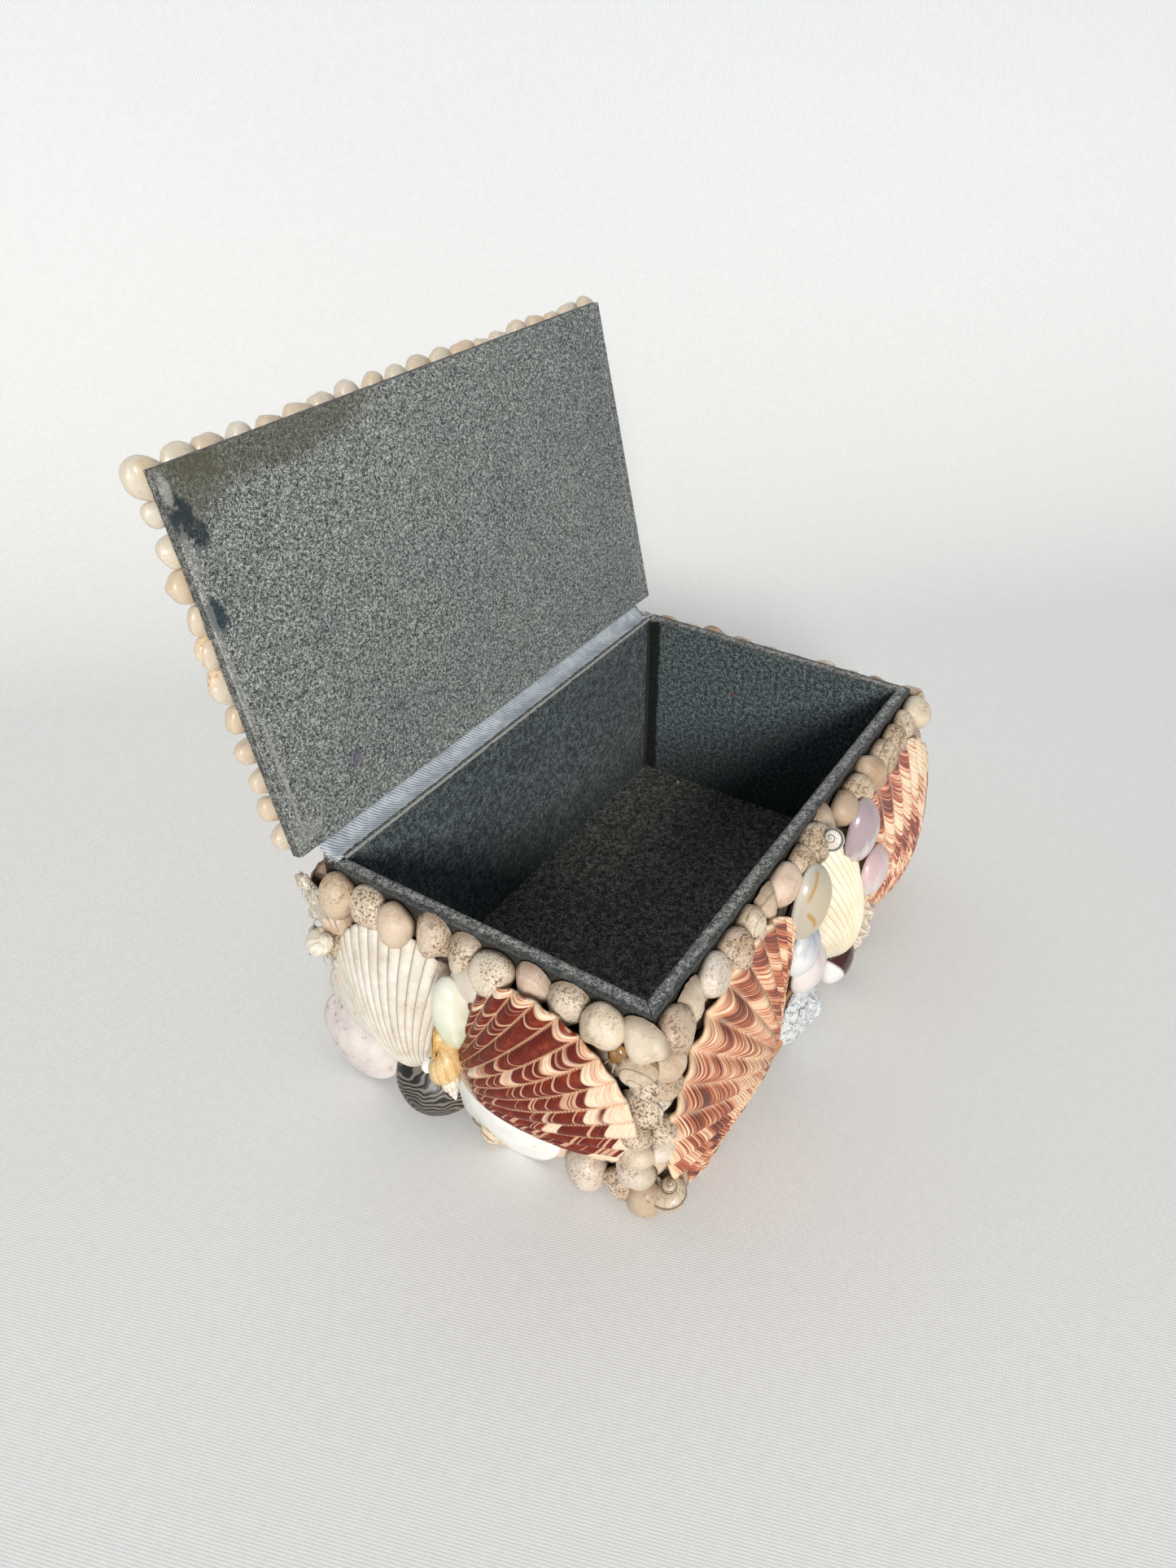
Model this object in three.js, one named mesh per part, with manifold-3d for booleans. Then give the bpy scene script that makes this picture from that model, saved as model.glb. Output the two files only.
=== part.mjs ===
// A keepsake box of felt-lined board, its walls and lid covered with glued sea shells.
// Millimetres. X runs along the hinge, Y from the front to the hinge, Z up.
// The origin is the centre of the base board's underside.
import * as THREE from 'three';
import { mergeVertices } from 'three/addons/utils/BufferGeometryUtils.js';
import Module from 'manifold-3d';

const wasm = await Module();
wasm.setup();

// Box of board
const innerLength = 160;
const innerWidth = 93;
const innerDepth = 65.8;
const baseBoard = 5.4;
const wallBoard = 3.2;

// Felt lining
const felt = 0.8;
const rimFelt = 1.6;
const mitreGap = 0.1;
const cornerSlot = 3.5;

// Lid
const lidBoard = 2.7;
const lidFelt = 0.8;
const lidOverhangFront = 1.2;
const lidOverhangBack = 0.5;
const lidOverhangLeft = 4.4;
const lidOverhangRight = 7.5;
const lidGap = 0.3;

// Hinge: a strip of cloth from the back wall's top to the lid's edge
const openAngle = 102.7;
const hingeEdge = 2.25;
const tape = 0.5;
const tapeEndInset = 2;

// Glued shells
const seatGap = 0.3;
const rimRowHeight = 13.2;
const rimRowDepth = 6.4;
const footRowHeight = 12.2;
const footRowDepth = 5.6;
const columnWidth = 9.2;
const columnDepth = 5.2;
const smallShellPitch = 10.4;
const footShellPitch = 12.2;
const columnShellPitch = 9.6;
const frontLap = 2.5;
const backLap = 5;
const lidRowWidth = 10.8;
const lidRowDepth = 5.4;
const lidRowProud = 5.6;
const lidShellPitch = 9.2;
const shoulder = 0.62;
const coverSteps = 8;
const coverSlack = 0.015;
const coverDrop = 10;
const coverFlare = 0.17;

const wall = felt + wallBoard;
const outerLength = innerLength + 2 * wall;
const outerWidth = innerWidth + 2 * wall;
const floorTop = baseBoard + felt;
const rimHeight = floorTop + innerDepth;
const tapeLength = outerLength - 2 * tapeEndInset;
const lidLength = outerLength + lidOverhangLeft + lidOverhangRight;
const lidWidth = outerWidth + lidOverhangFront + lidOverhangBack;
const lidThickness = lidFelt + lidBoard;
const hingeY = outerWidth / 2 + lidOverhangBack + hingeEdge;
const hingeZ = rimHeight + lidGap;

const degrees = Math.PI / 180;

const colours = {
	board: [0x8a7a66, 0.9],
	felt: [0x565a5c, 1.0],
	tape: [0x8d98a8, 0.9],
	small: [0xcbb8a2, 0.8],
	calico: [0x9c4a35, 0.5],
	cream: [0xe9dfcc, 0.6],
	white: [0xf1efe9, 0.3],
	lavender: [0xcfc0cc, 0.3],
	amber: [0xd9a862, 0.5],
	pearl: [0xb9bec8, 0.2],
	olive: [0x4d4838, 0.3],
	brown: [0x5a3326, 0.3],
	grey: [0xb5b8b6, 0.9],
};

function material( name ) {

	const [ color, roughness ] = colours[ name ];
	return new THREE.MeshStandardMaterial( { color, roughness, metalness: 0 } );

}

// Joining and cutting
function toSolid( geometry ) {

	const bare = geometry.clone();
	bare.deleteAttribute( 'normal' );
	bare.deleteAttribute( 'uv' );
	const merged = mergeVertices( bare, 1e-4 );
	return new wasm.Manifold( new wasm.Mesh( {
		numProp: 3,
		vertProperties: new Float32Array( merged.attributes.position.array ),
		triVerts: new Uint32Array( merged.index.array ),
	} ) );

}

function toGeometry( solid ) {

	const mesh = solid.getMesh();
	const geometry = new THREE.BufferGeometry();
	const points = new Float32Array( mesh.numVert * 3 );
	for ( let i = 0; i < mesh.numVert; i ++ ) {

		for ( let k = 0; k < 3; k ++ ) points[ 3 * i + k ] = mesh.vertProperties[ mesh.numProp * i + k ];

	}

	geometry.setAttribute( 'position', new THREE.BufferAttribute( points, 3 ) );
	geometry.setIndex( new THREE.BufferAttribute( new Uint32Array( mesh.triVerts ), 1 ) );
	return geometry;

}

function block( low, high ) {

	const size = high.map( ( value, axis ) => value - low[ axis ] );
	const middle = high.map( ( value, axis ) => ( value + low[ axis ] ) / 2 );
	return new THREE.BoxGeometry( ...size ).translate( ...middle );

}

function prism( outline, low, high ) {

	const shape = new THREE.Shape( outline.map( ( [ x, y ] ) => new THREE.Vector2( x, y ) ) );
	return new THREE.ExtrudeGeometry( shape, { depth: high - low, bevelEnabled: false } ).translate( 0, 0, low );

}

// A surface given by rings of points, closed below by a fan around its foot, after a drop if any
function closedSurface( rings, footCentre, drop = 0 ) {

	const points = rings.flat();
	const columns = rings[ 0 ].length;
	const last = ( rings.length - 1 ) * columns;
	const faces = [];
	for ( let r = 0; r + 1 < rings.length; r ++ ) {

		for ( let c = 0; c + 1 < columns; c ++ ) {

			const a = r * columns + c;
			const b = a + columns;
			faces.push( a, a + 1, b, a + 1, b + 1, b );

		}

	}

	for ( let c = 1; c + 1 < columns; c ++ ) faces.push( 0, c + 1, c );
	const foot = points.length;
	points.push( footCentre );
	let edge = [];
	for ( let c = 0; c < columns; c ++ ) edge.push( last + c );
	for ( let r = rings.length - 2; r >= 0; r -- ) edge.push( r * columns + columns - 1 );
	for ( let r = 0; r < rings.length - 1; r ++ ) edge.push( r * columns );
	if ( drop ) {

		const lower = edge.map( ( from ) => points.push( [ points[ from ][ 0 ], points[ from ][ 1 ], - drop ] ) - 1 );
		edge.forEach( ( from, i ) => {

			const next = ( i + 1 ) % edge.length;
			faces.push( from, edge[ next ], lower[ i ], edge[ next ], lower[ next ], lower[ i ] );

		} );
		edge = lower;

	}

	edge.forEach( ( from, i ) => faces.push( foot, from, edge[ ( i + 1 ) % edge.length ] ) );
	const geometry = new THREE.BufferGeometry();
	geometry.setAttribute( 'position', new THREE.BufferAttribute( new Float32Array( points.flat() ), 3 ) );
	geometry.setIndex( faces );
	return geometry;

}

// One valve of a bivalve. The beak is at the origin, the margin grows along +Y and the dome rises
// along +Z: each growth stage is the margin made smaller about the beak and turned up over it.
// With slack it is the smooth cover of the valve instead, clear of its ribs all round and
// carried down to the wall.
function valve( { length, aspect, inflation, fan, ribs = 0, ribHeight = 0, ears, slack = 0 } ) {

	const radius = fan.radius * length;
	const centre = length - radius;
	const ribTop = ribHeight * length;
	const half = ears ? fan.angle * degrees : Math.PI / 2;
	const steps = slack ? coverSteps : 2 * ribs || fan.steps;
	const margin = [];
	const addEar = ( side ) => {

		const tip = [ side * ears.span * length, ears.height * length * 0.75, 0 ];
		const hinge = [ side * ears.span * length * 1.04, 0, 0 ];
		if ( side < 0 ) margin.push( hinge, tip );
		else margin.push( tip, hinge );

	};

	if ( ears ) addEar( - 1 );
	for ( let i = 0; i <= steps; i ++ ) {

		const angle = half * ( 2 * i / steps - 1 );
		const reach = centre * Math.cos( angle )
			+ Math.sqrt( Math.max( 0, radius ** 2 - ( centre * Math.sin( angle ) ) ** 2 ) );
		const crest = slack || i % 2 === 1 ? ribTop : 0;
		const rise = crest * Math.sqrt( Math.max( 0, Math.cos( angle ) ) );
		const grow = 1 + 0.5 * rise / length;
		margin.push( [ aspect * reach * Math.sin( angle ) * grow, reach * Math.cos( angle ) * grow, rise ] );

	}

	if ( ears ) addEar( 1 );
	const stages = [ 0.1, 0.34, 0.68, 1 ];
	const rings = stages.map( ( stage ) => {

		const turn = inflation * Math.log( 1 / stage );
		return margin.map( ( [ x, y, z ] ) => [
			stage * x,
			stage * ( y * Math.cos( turn ) - z * Math.sin( turn ) ),
			stage * ( y * Math.sin( turn ) + z * Math.cos( turn ) ),
		] );

	} );
	if ( ! slack ) return closedSurface( rings, [ 0, 0.45 * length, 0 ] );
	const spread = 1 + 2 * slack / length;
	const raised = rings.map( ( ring ) => ring.map( ( [ x, y, z ] ) => [
		spread * x + slack * Math.sign( x ), spread * y - slack, z + slack ] ) );
	return closedSurface( raised, [ 0, 0.45 * length, - coverDrop ], coverDrop );

}

// A dome over an oval foot, centred on the origin
function oval( { length, width, depth, sides = 10 } ) {

	const levels = [ [ 1, 0 ], [ 0.94, 0.4 ], [ 0.66, 0.82 ] ];
	const points = [];
	const faces = [];
	for ( const [ share, height ] of levels ) {

		for ( let i = 0; i < sides; i ++ ) {

			const angle = 2 * Math.PI * i / sides;
			points.push( [ share * width / 2 * Math.cos( angle ), share * length / 2 * Math.sin( angle ), height * depth ] );

		}

	}

	for ( let level = 0; level + 1 < levels.length; level ++ ) {

		for ( let i = 0; i < sides; i ++ ) {

			const a = level * sides + i;
			const b = level * sides + ( i + 1 ) % sides;
			faces.push( a, b, a + sides, b, b + sides, a + sides );

		}

	}

	const top = points.length;
	points.push( [ 0, 0, depth ] );
	const bottom = points.length;
	points.push( [ 0, 0, 0 ] );
	for ( let i = 0; i < sides; i ++ ) {

		const next = ( i + 1 ) % sides;
		faces.push( top - sides + i, top - sides + next, top );
		faces.push( bottom, next, i );

	}

	const geometry = new THREE.BufferGeometry();
	geometry.setAttribute( 'position', new THREE.BufferAttribute( new Float32Array( points.flat() ), 3 ) );
	geometry.setIndex( faces );
	return geometry;

}

// A coiled snail lying on its side: whorls stepped along the +Y axis, widest near the mouth
function snail( { length, width, whorls, sides = 9 } ) {

	const outline = [ new THREE.Vector2( 0, 0 ) ];
	for ( let i = 0; i < whorls; i ++ ) {

		const from = 1 - ( 1 - i / whorls ) ** 1.5;
		const to = 1 - ( 1 - ( i + 1 ) / whorls ) ** 1.5;
		const wide = width / 2 * ( 1 - from ) ** 0.85;
		outline.push( new THREE.Vector2( 0.8 * wide, length * ( from + 0.04 ) ) );
		outline.push( new THREE.Vector2( wide, length * ( from + 0.45 * ( to - from ) ) ) );

	}

	outline.push( new THREE.Vector2( 0, length ) );
	return new THREE.LatheGeometry( outline, sides ).translate( 0, 0, width / 2 );

}

// Touching domed shells in a line along X, lofted in one piece and centred on the origin.
// Each shell has a shoulder either side of its middle and shares a valley with the next.
function beadRow( { length, pitch, height, depth } ) {

	const count = Math.max( 2, Math.round( length / pitch ) );
	const step = length / count;
	const sections = [];
	const section = ( x, high, deep ) => {

		const h = high / 2;
		sections.push( [ [ x, - h, 0 ], [ x, - shoulder * h, deep ], [ x, shoulder * h, deep ], [ x, h, 0 ] ] );

	};

	for ( let i = 0; i < count; i ++ ) {

		const from = - length / 2 + i * step;
		const fuller = 1 - 0.12 * ( i % 3 ) / 2;
		const valley = i === 0 ? 0.5 : 0.62;
		section( from, valley * height, 0.35 * depth );
		section( from + 0.24 * step, height, fuller * depth * 0.93 );
		section( from + 0.76 * step, height, fuller * depth );

	}

	section( length / 2, 0.5 * height, 0.35 * depth );
	const points = sections.flat();
	const sides = 4;
	const faces = [];
	for ( let s = 0; s + 1 < sections.length; s ++ ) {

		for ( let k = 0; k < sides; k ++ ) {

			const a = s * sides + k;
			const b = s * sides + ( k + 1 ) % sides;
			faces.push( a, a + sides, b, b, a + sides, b + sides );

		}

	}

	const end = points.length - sides;
	for ( let k = 1; k + 1 < sides; k ++ ) {

		faces.push( 0, k, k + 1 );
		faces.push( end, end + k + 1, end + k );

	}

	const geometry = new THREE.BufferGeometry();
	geometry.setAttribute( 'position', new THREE.BufferAttribute( new Float32Array( points.flat() ), 3 ) );
	geometry.setIndex( faces );
	return geometry;

}

// The room that a row takes up, which a piece glued over it is cut back to
function rowCover( { length, height, depth, grow } ) {

	const half = height / 2 + grow;
	const top = shoulder * half;
	const outline = [ [ - half, - grow ], [ half, - grow ], [ top, depth + grow ], [ - top, depth + grow ] ];
	const bar = prism( outline, - length / 2 - grow, length / 2 + grow );
	return bar.rotateX( Math.PI / 2 ).rotateZ( Math.PI / 2 );

}

// The largest of the bodies that a cut leaves
function mainBody( geometry ) {

	const index = geometry.index.array;
	const position = geometry.attributes.position;
	const parent = Array.from( { length: position.count }, ( _, i ) => i );
	const root = ( i ) => {

		while ( parent[ i ] !== i ) i = parent[ i ];
		return i;

	};

	for ( let f = 0; f < index.length; f += 3 ) {

		parent[ root( index[ f + 1 ] ) ] = root( index[ f ] );
		parent[ root( index[ f + 2 ] ) ] = root( index[ f ] );

	}

	const volumes = new Map();
	const corners = [ new THREE.Vector3(), new THREE.Vector3(), new THREE.Vector3() ];
	for ( let f = 0; f < index.length; f += 3 ) {

		corners.forEach( ( corner, k ) => corner.fromBufferAttribute( position, index[ f + k ] ) );
		const share = corners[ 0 ].dot( corners[ 1 ].cross( corners[ 2 ] ) );
		const body = root( index[ f ] );
		volumes.set( body, ( volumes.get( body ) ?? 0 ) + share );

	}

	const [ largest ] = [ ...volumes ].reduce( ( a, b ) => ( b[ 1 ] > a[ 1 ] ? b : a ) );
	const kept = [ ...index ].filter( ( corner ) => root( corner ) === largest );
	geometry.setIndex( kept );
	const merged = geometry.toNonIndexed();
	return mergeVertices( merged, 1e-5 );

}

// A piece swollen on all sides, with its foot carried down to the wall
function swollen( geometry, by ) {

	const bigger = geometry.clone();
	bigger.computeBoundingBox();
	const size = bigger.boundingBox.getSize( new THREE.Vector3() );
	const middle = bigger.boundingBox.getCenter( new THREE.Vector3() );
	bigger.translate( - middle.x, - middle.y, - middle.z );
	bigger.scale( 1 + 2 * by / size.x, 1 + 2 * by / size.y, 1 + 2 * by / size.z );
	bigger.translate( middle.x, middle.y, middle.z );
	const position = bigger.attributes.position;
	const spread = 1 + coverFlare * ( coverDrop + by ) / size.z;
	for ( let i = 0; i < position.count; i ++ ) {

		if ( position.getZ( i ) > - by / 2 ) continue;
		position.setXYZ( i, spread * position.getX( i ), spread * position.getY( i ), - coverDrop );

	}

	return bigger;

}

// One wall or the lid's top: shells are laid on it in (along, up, out) from its outer surface
class Face {

	constructor( length, height ) {

		this.length = length;
		this.height = height;
		this.group = new THREE.Group();
		this.laid = [];

	}

	add( name, colour, solid ) {

		const mesh = new THREE.Mesh( mainBody( toGeometry( solid ) ), material( colour ) );
		mesh.name = name;
		this.group.add( mesh );

	}

	// A straight run of small shells between two ends, with its middle line at the given place
	row( name, { from, to, line, height, depth, pitch, upright = false } ) {

		const middle = ( from + to ) / 2;
		const settle = ( geometry ) => {

			if ( upright ) geometry.rotateZ( Math.PI / 2 );
			return toSolid( geometry.translate( upright ? line : middle, upright ? middle : line, seatGap ) );

		};

		const length = to - from;
		this.add( name, 'small', this.cut( settle( beadRow( { length, pitch, height, depth } ) ) ) );
		this.laid.push( settle( rowCover( { length, height, depth, grow: seatGap } ) ) );

	}

	// A larger shell. at gives its beak or centre as shares of the face, stand its height off the
	// wall as a share of the wall's, turn the way it grows, tilt lifts its margin and roll one side
	shell( name, colour, { form, cover }, { at, stand = 0, turn = 90, tilt = 0, roll = 0 } ) {

		const place = new THREE.Matrix4().makeTranslation(
			at[ 0 ] * this.length, at[ 1 ] * this.height, stand * rimHeight + seatGap );
		place.multiply( new THREE.Matrix4().makeRotationZ( ( turn - 90 ) * degrees ) );
		place.multiply( new THREE.Matrix4().makeRotationX( tilt * degrees ) );
		place.multiply( new THREE.Matrix4().makeRotationY( roll * degrees ) );
		const settle = ( geometry ) => toSolid( geometry.clone().applyMatrix4( place ) );
		this.add( name, colour, this.cut( settle( form ) ) );
		this.laid.push( settle( cover ) );

	}

	cut( solid ) {

		const room = 100;
		const behind = block(
			[ - this.length - room, - this.height - room, - room ],
			[ this.length + room, 2 * this.height + room, seatGap ] );
		let left = solid.subtract( toSolid( behind ) );
		for ( const other of this.laid ) left = left.subtract( other );
		return left;

	}

}

// A ribbed or smooth valve, with the smooth cover that later shells are cut back to
function valvePiece( shape ) {

	const slack = seatGap + coverSlack * shape.length;
	return { form: valve( shape ), cover: valve( { ...shape, slack } ) };

}

function solidPiece( geometry ) {

	return { form: geometry, cover: swollen( geometry, seatGap ) };

}

// The kinds of shell that recur. Shells are picked to suit the walls, so their lengths, widths and
// depths are given as shares of the wall's height.
const scallop = ( size, extra = {} ) => valvePiece( {
	length: size * rimHeight, aspect: 1.12, inflation: 0.62, fan: { radius: 0.455, angle: 53 },
	ribs: 13, ribHeight: 0.027, ears: { span: 0.34, height: 0.24 }, ...extra,
} );
const cockle = ( size, extra = {} ) => valvePiece( {
	length: size * rimHeight, aspect: 0.85, inflation: 0.7, fan: { radius: 0.52 },
	ribs: 11, ribHeight: 0.023, ...extra,
} );
const clam = ( size, extra = {} ) => valvePiece( {
	length: size * rimHeight, aspect: 1.3, inflation: 0.7, fan: { radius: 0.53, steps: 10 }, ...extra,
} );
const pebble = ( long, wide, deep, sides = 8 ) => solidPiece( oval( {
	length: long * rimHeight, width: wide * rimHeight, depth: deep * rimHeight, sides,
} ) );
const whorled = ( long, wide, whorls ) => solidPiece( snail( {
	length: long * rimHeight, width: wide * rimHeight, whorls,
} ) );

const group = new THREE.Group();
const box = new THREE.Group();
group.add( box );

function addPiece( parent, name, colour, geometry ) {

	const mesh = new THREE.Mesh( geometry, material( colour ) );
	mesh.name = name;
	parent.add( mesh );

}

// Base board and the four wall boards standing on it
const halfL = outerLength / 2;
const halfW = outerWidth / 2;
const boardTop = rimHeight - rimFelt;
addPiece( box, 'base_board', 'board', block( [ - halfL, - halfW, 0 ], [ halfL, halfW, baseBoard ] ) );
addPiece( box, 'wall_front', 'board', block(
	[ - halfL, - halfW, baseBoard ], [ halfL, - halfW + wallBoard, boardTop ] ) );
addPiece( box, 'wall_back', 'board', block(
	[ - halfL, halfW - wallBoard, baseBoard ], [ halfL, halfW, rimHeight - tape ] ) );
for ( const [ side, name ] of [ [ - 1, 'wall_left' ], [ 1, 'wall_right' ] ] ) {

	const xs = [ side * halfL, side * ( halfL - wallBoard ) ].sort( ( a, b ) => a - b );
	addPiece( box, name, 'board', block(
		[ xs[ 0 ], - halfW + wallBoard, baseBoard ], [ xs[ 1 ], halfW - wallBoard, boardTop ] ) );

}

// Linings: a felt sheet inside each wall, rolled over the rim of the front and the two ends
function liningSection( inner, outer ) {

	const section = new THREE.Shape();
	section.moveTo( inner, floorTop );
	section.lineTo( inner + felt, floorTop );
	section.lineTo( inner + felt, boardTop );
	section.lineTo( outer, boardTop );
	section.lineTo( outer, rimHeight );
	section.lineTo( inner, rimHeight );
	return section;

}

// A lining along X for the wall on the -Y side, long enough for its ends to be cut
function liningBlank( inner, outer, length ) {

	const geometry = new THREE.ExtrudeGeometry( liningSection( inner, outer ), { depth: length, bevelEnabled: false } );
	return geometry.rotateX( Math.PI / 2 ).rotateZ( - Math.PI / 2 ).translate( length / 2, 0, 0 );

}

const inL = innerLength / 2;
const inW = innerWidth / 2;
const beyond = 20;
addPiece( box, 'lining_floor', 'felt', block(
	[ - inL - felt, - inW - felt, baseBoard ], [ inL + felt, inW + felt, floorTop ] ) );

const frontBlank = toSolid( liningBlank( inW, halfW, outerLength + beyond ) );
const frontPlan = toSolid( prism( [
	[ - halfL + mitreGap, - halfW ], [ halfL - mitreGap, - halfW ],
	[ inL - mitreGap, - inW ], [ - inL + mitreGap, - inW ],
], 0, rimHeight + beyond ) );
addPiece( box, 'lining_front', 'felt', toGeometry( frontBlank.intersect( frontPlan ) ) );

addPiece( box, 'lining_back', 'felt', block(
	[ - inL + mitreGap, inW, floorTop ], [ inL - mitreGap, inW + felt, rimHeight ] ) );

for ( const [ side, name, slot ] of [ [ - 1, 'lining_left', 0 ], [ 1, 'lining_right', cornerSlot ] ] ) {

	const blank = liningBlank( inL, halfL, outerWidth + beyond ).rotateZ( side * Math.PI / 2 );
	const capEnd = halfW - wallBoard - mitreGap;
	const plan = toSolid( prism( [
		[ side * halfL, - halfW + mitreGap ], [ side * halfL, capEnd ], [ side * ( inL + felt ), capEnd ],
		[ side * ( inL + felt ), inW - slot ], [ side * inL, inW - slot - mitreGap ], [ side * inL, - inW + mitreGap ],
	], 0, rimHeight + beyond ) );
	addPiece( box, name, 'felt', toGeometry( toSolid( blank ).intersect( plan ) ) );

}

// Hinge tape: lies on the back wall's top and rises to the lid's edge
const leanY = Math.cos( ( 180 - openAngle ) * degrees );
const leanZ = Math.sin( ( 180 - openAngle ) * degrees );
const tapeEnd = hingeEdge - seatGap;
const tapeTop = [ hingeY + leanY * tapeEnd + leanZ * tape, hingeZ + leanZ * tapeEnd - leanY * tape ];
const tapeSection = [
	[ inW + felt + mitreGap, rimHeight - tape ], [ halfW, rimHeight - tape ],
	[ tapeTop[ 0 ] + leanZ * tape, tapeTop[ 1 ] - leanY * tape ], tapeTop,
	[ halfW - tape / 2, rimHeight ], [ inW + felt + mitreGap, rimHeight ],
];
const tapeGeometry = prism( tapeSection, - tapeLength / 2, tapeLength / 2 );
tapeGeometry.applyMatrix4( new THREE.Matrix4().set( 0, 0, 1, 0, 1, 0, 0, 0, 0, 1, 0, 0, 0, 0, 0, 1 ) );
addPiece( box, 'hinge_tape', 'tape', tapeGeometry );

// Walls' outer faces, each turned to look outwards
function wallFace( length, yaw, distance ) {

	const face = new Face( length, rimHeight );
	const turned = new THREE.Group();
	turned.rotation.z = yaw * degrees;
	face.group.rotation.x = Math.PI / 2;
	face.group.position.y = - distance;
	turned.add( face.group );
	box.add( turned );
	return face;

}

const front = wallFace( outerLength, 0, halfW );
const right = wallFace( outerWidth, 90, halfL );
const back = wallFace( outerLength, 180, halfW );
const left = wallFace( outerWidth, - 90, halfL );

// Rows of small shells round each wall: along the rim, along the foot and up the corners
const rimLine = rimHeight - 2 * seatGap - rimRowHeight / 2;
const footLine = seatGap + footRowHeight / 2;
const columnTop = rimLine - rimRowHeight / 2 - seatGap;
const columnFoot = footLine + footRowHeight / 2 + seatGap;
const rimRow = { line: rimLine, height: rimRowHeight, depth: rimRowDepth, pitch: smallShellPitch };
const footRow = { line: footLine, height: footRowHeight, depth: footRowDepth, pitch: footShellPitch };
const column = {
	from: columnFoot, to: columnTop, height: columnWidth, depth: columnDepth,
	pitch: columnShellPitch, upright: true,
};
const lapW = halfW + frontLap;
const lapL = halfL + backLap;

front.row( 'rim_row_front', { ...rimRow, from: - halfL, to: halfL } );
front.row( 'foot_row_front', { ...footRow, from: - halfL, to: halfL } );
front.row( 'column_front_left', { ...column, line: - halfL + columnWidth / 2 } );
front.row( 'column_front_right', { ...column, line: halfL - columnWidth / 2 } );
left.row( 'rim_row_left', { ...rimRow, from: - halfW, to: lapW } );
left.row( 'foot_row_left', { ...footRow, from: 0, to: lapW } );
left.row( 'column_left_front', { ...column, line: lapW - columnWidth / 2 } );
left.row( 'column_left_back', { ...column, line: - halfW + columnWidth / 2 } );
right.row( 'rim_row_right', { ...rimRow, from: - lapW, to: halfW } );
right.row( 'foot_row_right', { ...footRow, from: - lapW, to: halfW } );
right.row( 'column_right_front', { ...column, line: - lapW + columnWidth / 2 } );
right.row( 'column_right_back', { ...column, line: halfW - columnWidth / 2 } );
back.row( 'rim_row_back', { ...rimRow, from: - lapL, to: lapL } );
back.row( 'foot_row_back', { ...footRow, from: - lapL, to: lapL } );

// Larger shells on the left wall, in the order they were glued
left.shell( 'clam_lavender_left', 'lavender', clam( 0.332, { aspect: 1.16 } ),
	{ at: [ - 0.32, 0.31 ], turn: 221, stand: 0.067, tilt: 9.5, roll: 5 } );
left.shell( 'cockle_left', 'cream', cockle( 0.637 ),
	{ at: [ - 0.188, 0.242 ], turn: 106, stand: 0.039, roll: 8 } );
left.shell( 'nerite_left', 'olive', pebble( 0.347, 0.292, 0.181, 10 ),
	{ at: [ - 0.157, 0.16 ], turn: - 21, stand: 0.021 } );
left.shell( 'clam_white_left', 'white', clam( 0.286, { aspect: 1.43, inflation: 0.6 } ),
	{ at: [ 0.128, 0.318 ], turn: 252, stand: 0.044, tilt: 6.7, roll: - 1.8 } );
left.shell( 'scallop_left', 'calico', scallop( 0.765, { aspect: 1.16 } ),
	{ at: [ - 0.03, 0.364 ], turn: 26, stand: 0.021, tilt: 4.6, roll: 4.1 } );
left.shell( 'snail_yellow_left', 'amber', whorled( 0.333, 0.125, 4 ),
	{ at: [ - 0.055, 0.6 ], turn: 276, stand: 0.111 } );
left.shell( 'oval_green_left', 'white', pebble( 0.347, 0.139, 0.083 ),
	{ at: [ - 0.027, 0.672 ], turn: 97, stand: 0.087 } );
left.shell( 'snail_rough_left', 'cream', whorled( 0.194, 0.139, 3 ),
	{ at: [ - 0.47, 0.70 ], turn: 60, stand: 0.042 } );

// Larger shells on the front wall
front.shell( 'scallop_front_left', 'calico',
	scallop( 0.719, { aspect: 1.3, inflation: 0.4, fan: { radius: 0.54, angle: 65 } } ),
	{ at: [ - 0.195, 0.237 ], turn: 138, stand: 0.09, tilt: - 4.2 } );
front.shell( 'scallop_front_right', 'calico', scallop( 0.821 ),
	{ at: [ 0.257, 0.134 ], turn: 66, stand: 0.036, tilt: 3.1, roll: - 6.5 } );
front.shell( 'cockle_front', 'cream', cockle( 0.646, { inflation: 0.85 } ),
	{ at: [ 0.12, 0.135 ], turn: 102, stand: 0.008, tilt: 2 } );
front.shell( 'oval_amber_front', 'amber', pebble( 0.347, 0.208, 0.083 ),
	{ at: [ - 0.068, 0.77 ], turn: 104, stand: 0.089 } );
front.shell( 'oval_lavender_front', 'lavender', pebble( 0.325, 0.201, 0.083 ),
	{ at: [ 0.145, 0.78 ], turn: 98, stand: 0.094 } );
front.shell( 'clam_pink_front', 'lavender', pebble( 0.244, 0.194, 0.069 ),
	{ at: [ 0.187, 0.521 ], turn: 83, stand: 0.153 } );
front.shell( 'clam_lavender_front', 'lavender', pebble( 0.236, 0.278, 0.083 ),
	{ at: [ - 0.037, 0.358 ], turn: 68, stand: 0.101 } );
front.shell( 'oval_pearl_front', 'pearl', pebble( 0.228, 0.188, 0.069 ),
	{ at: [ - 0.076, 0.531 ], turn: 74, stand: 0.103 } );
front.shell( 'barnacle_front', 'grey', pebble( 0.292, 0.222, 0.083 ),
	{ at: [ - 0.069, 0.155 ], turn: 168, stand: 0.09 } );
front.shell( 'snail_brown_front', 'brown', pebble( 0.194, 0.139, 0.097 ),
	{ at: [ 0.115, 0.11 ], turn: 65, stand: 0.111 } );

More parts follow.
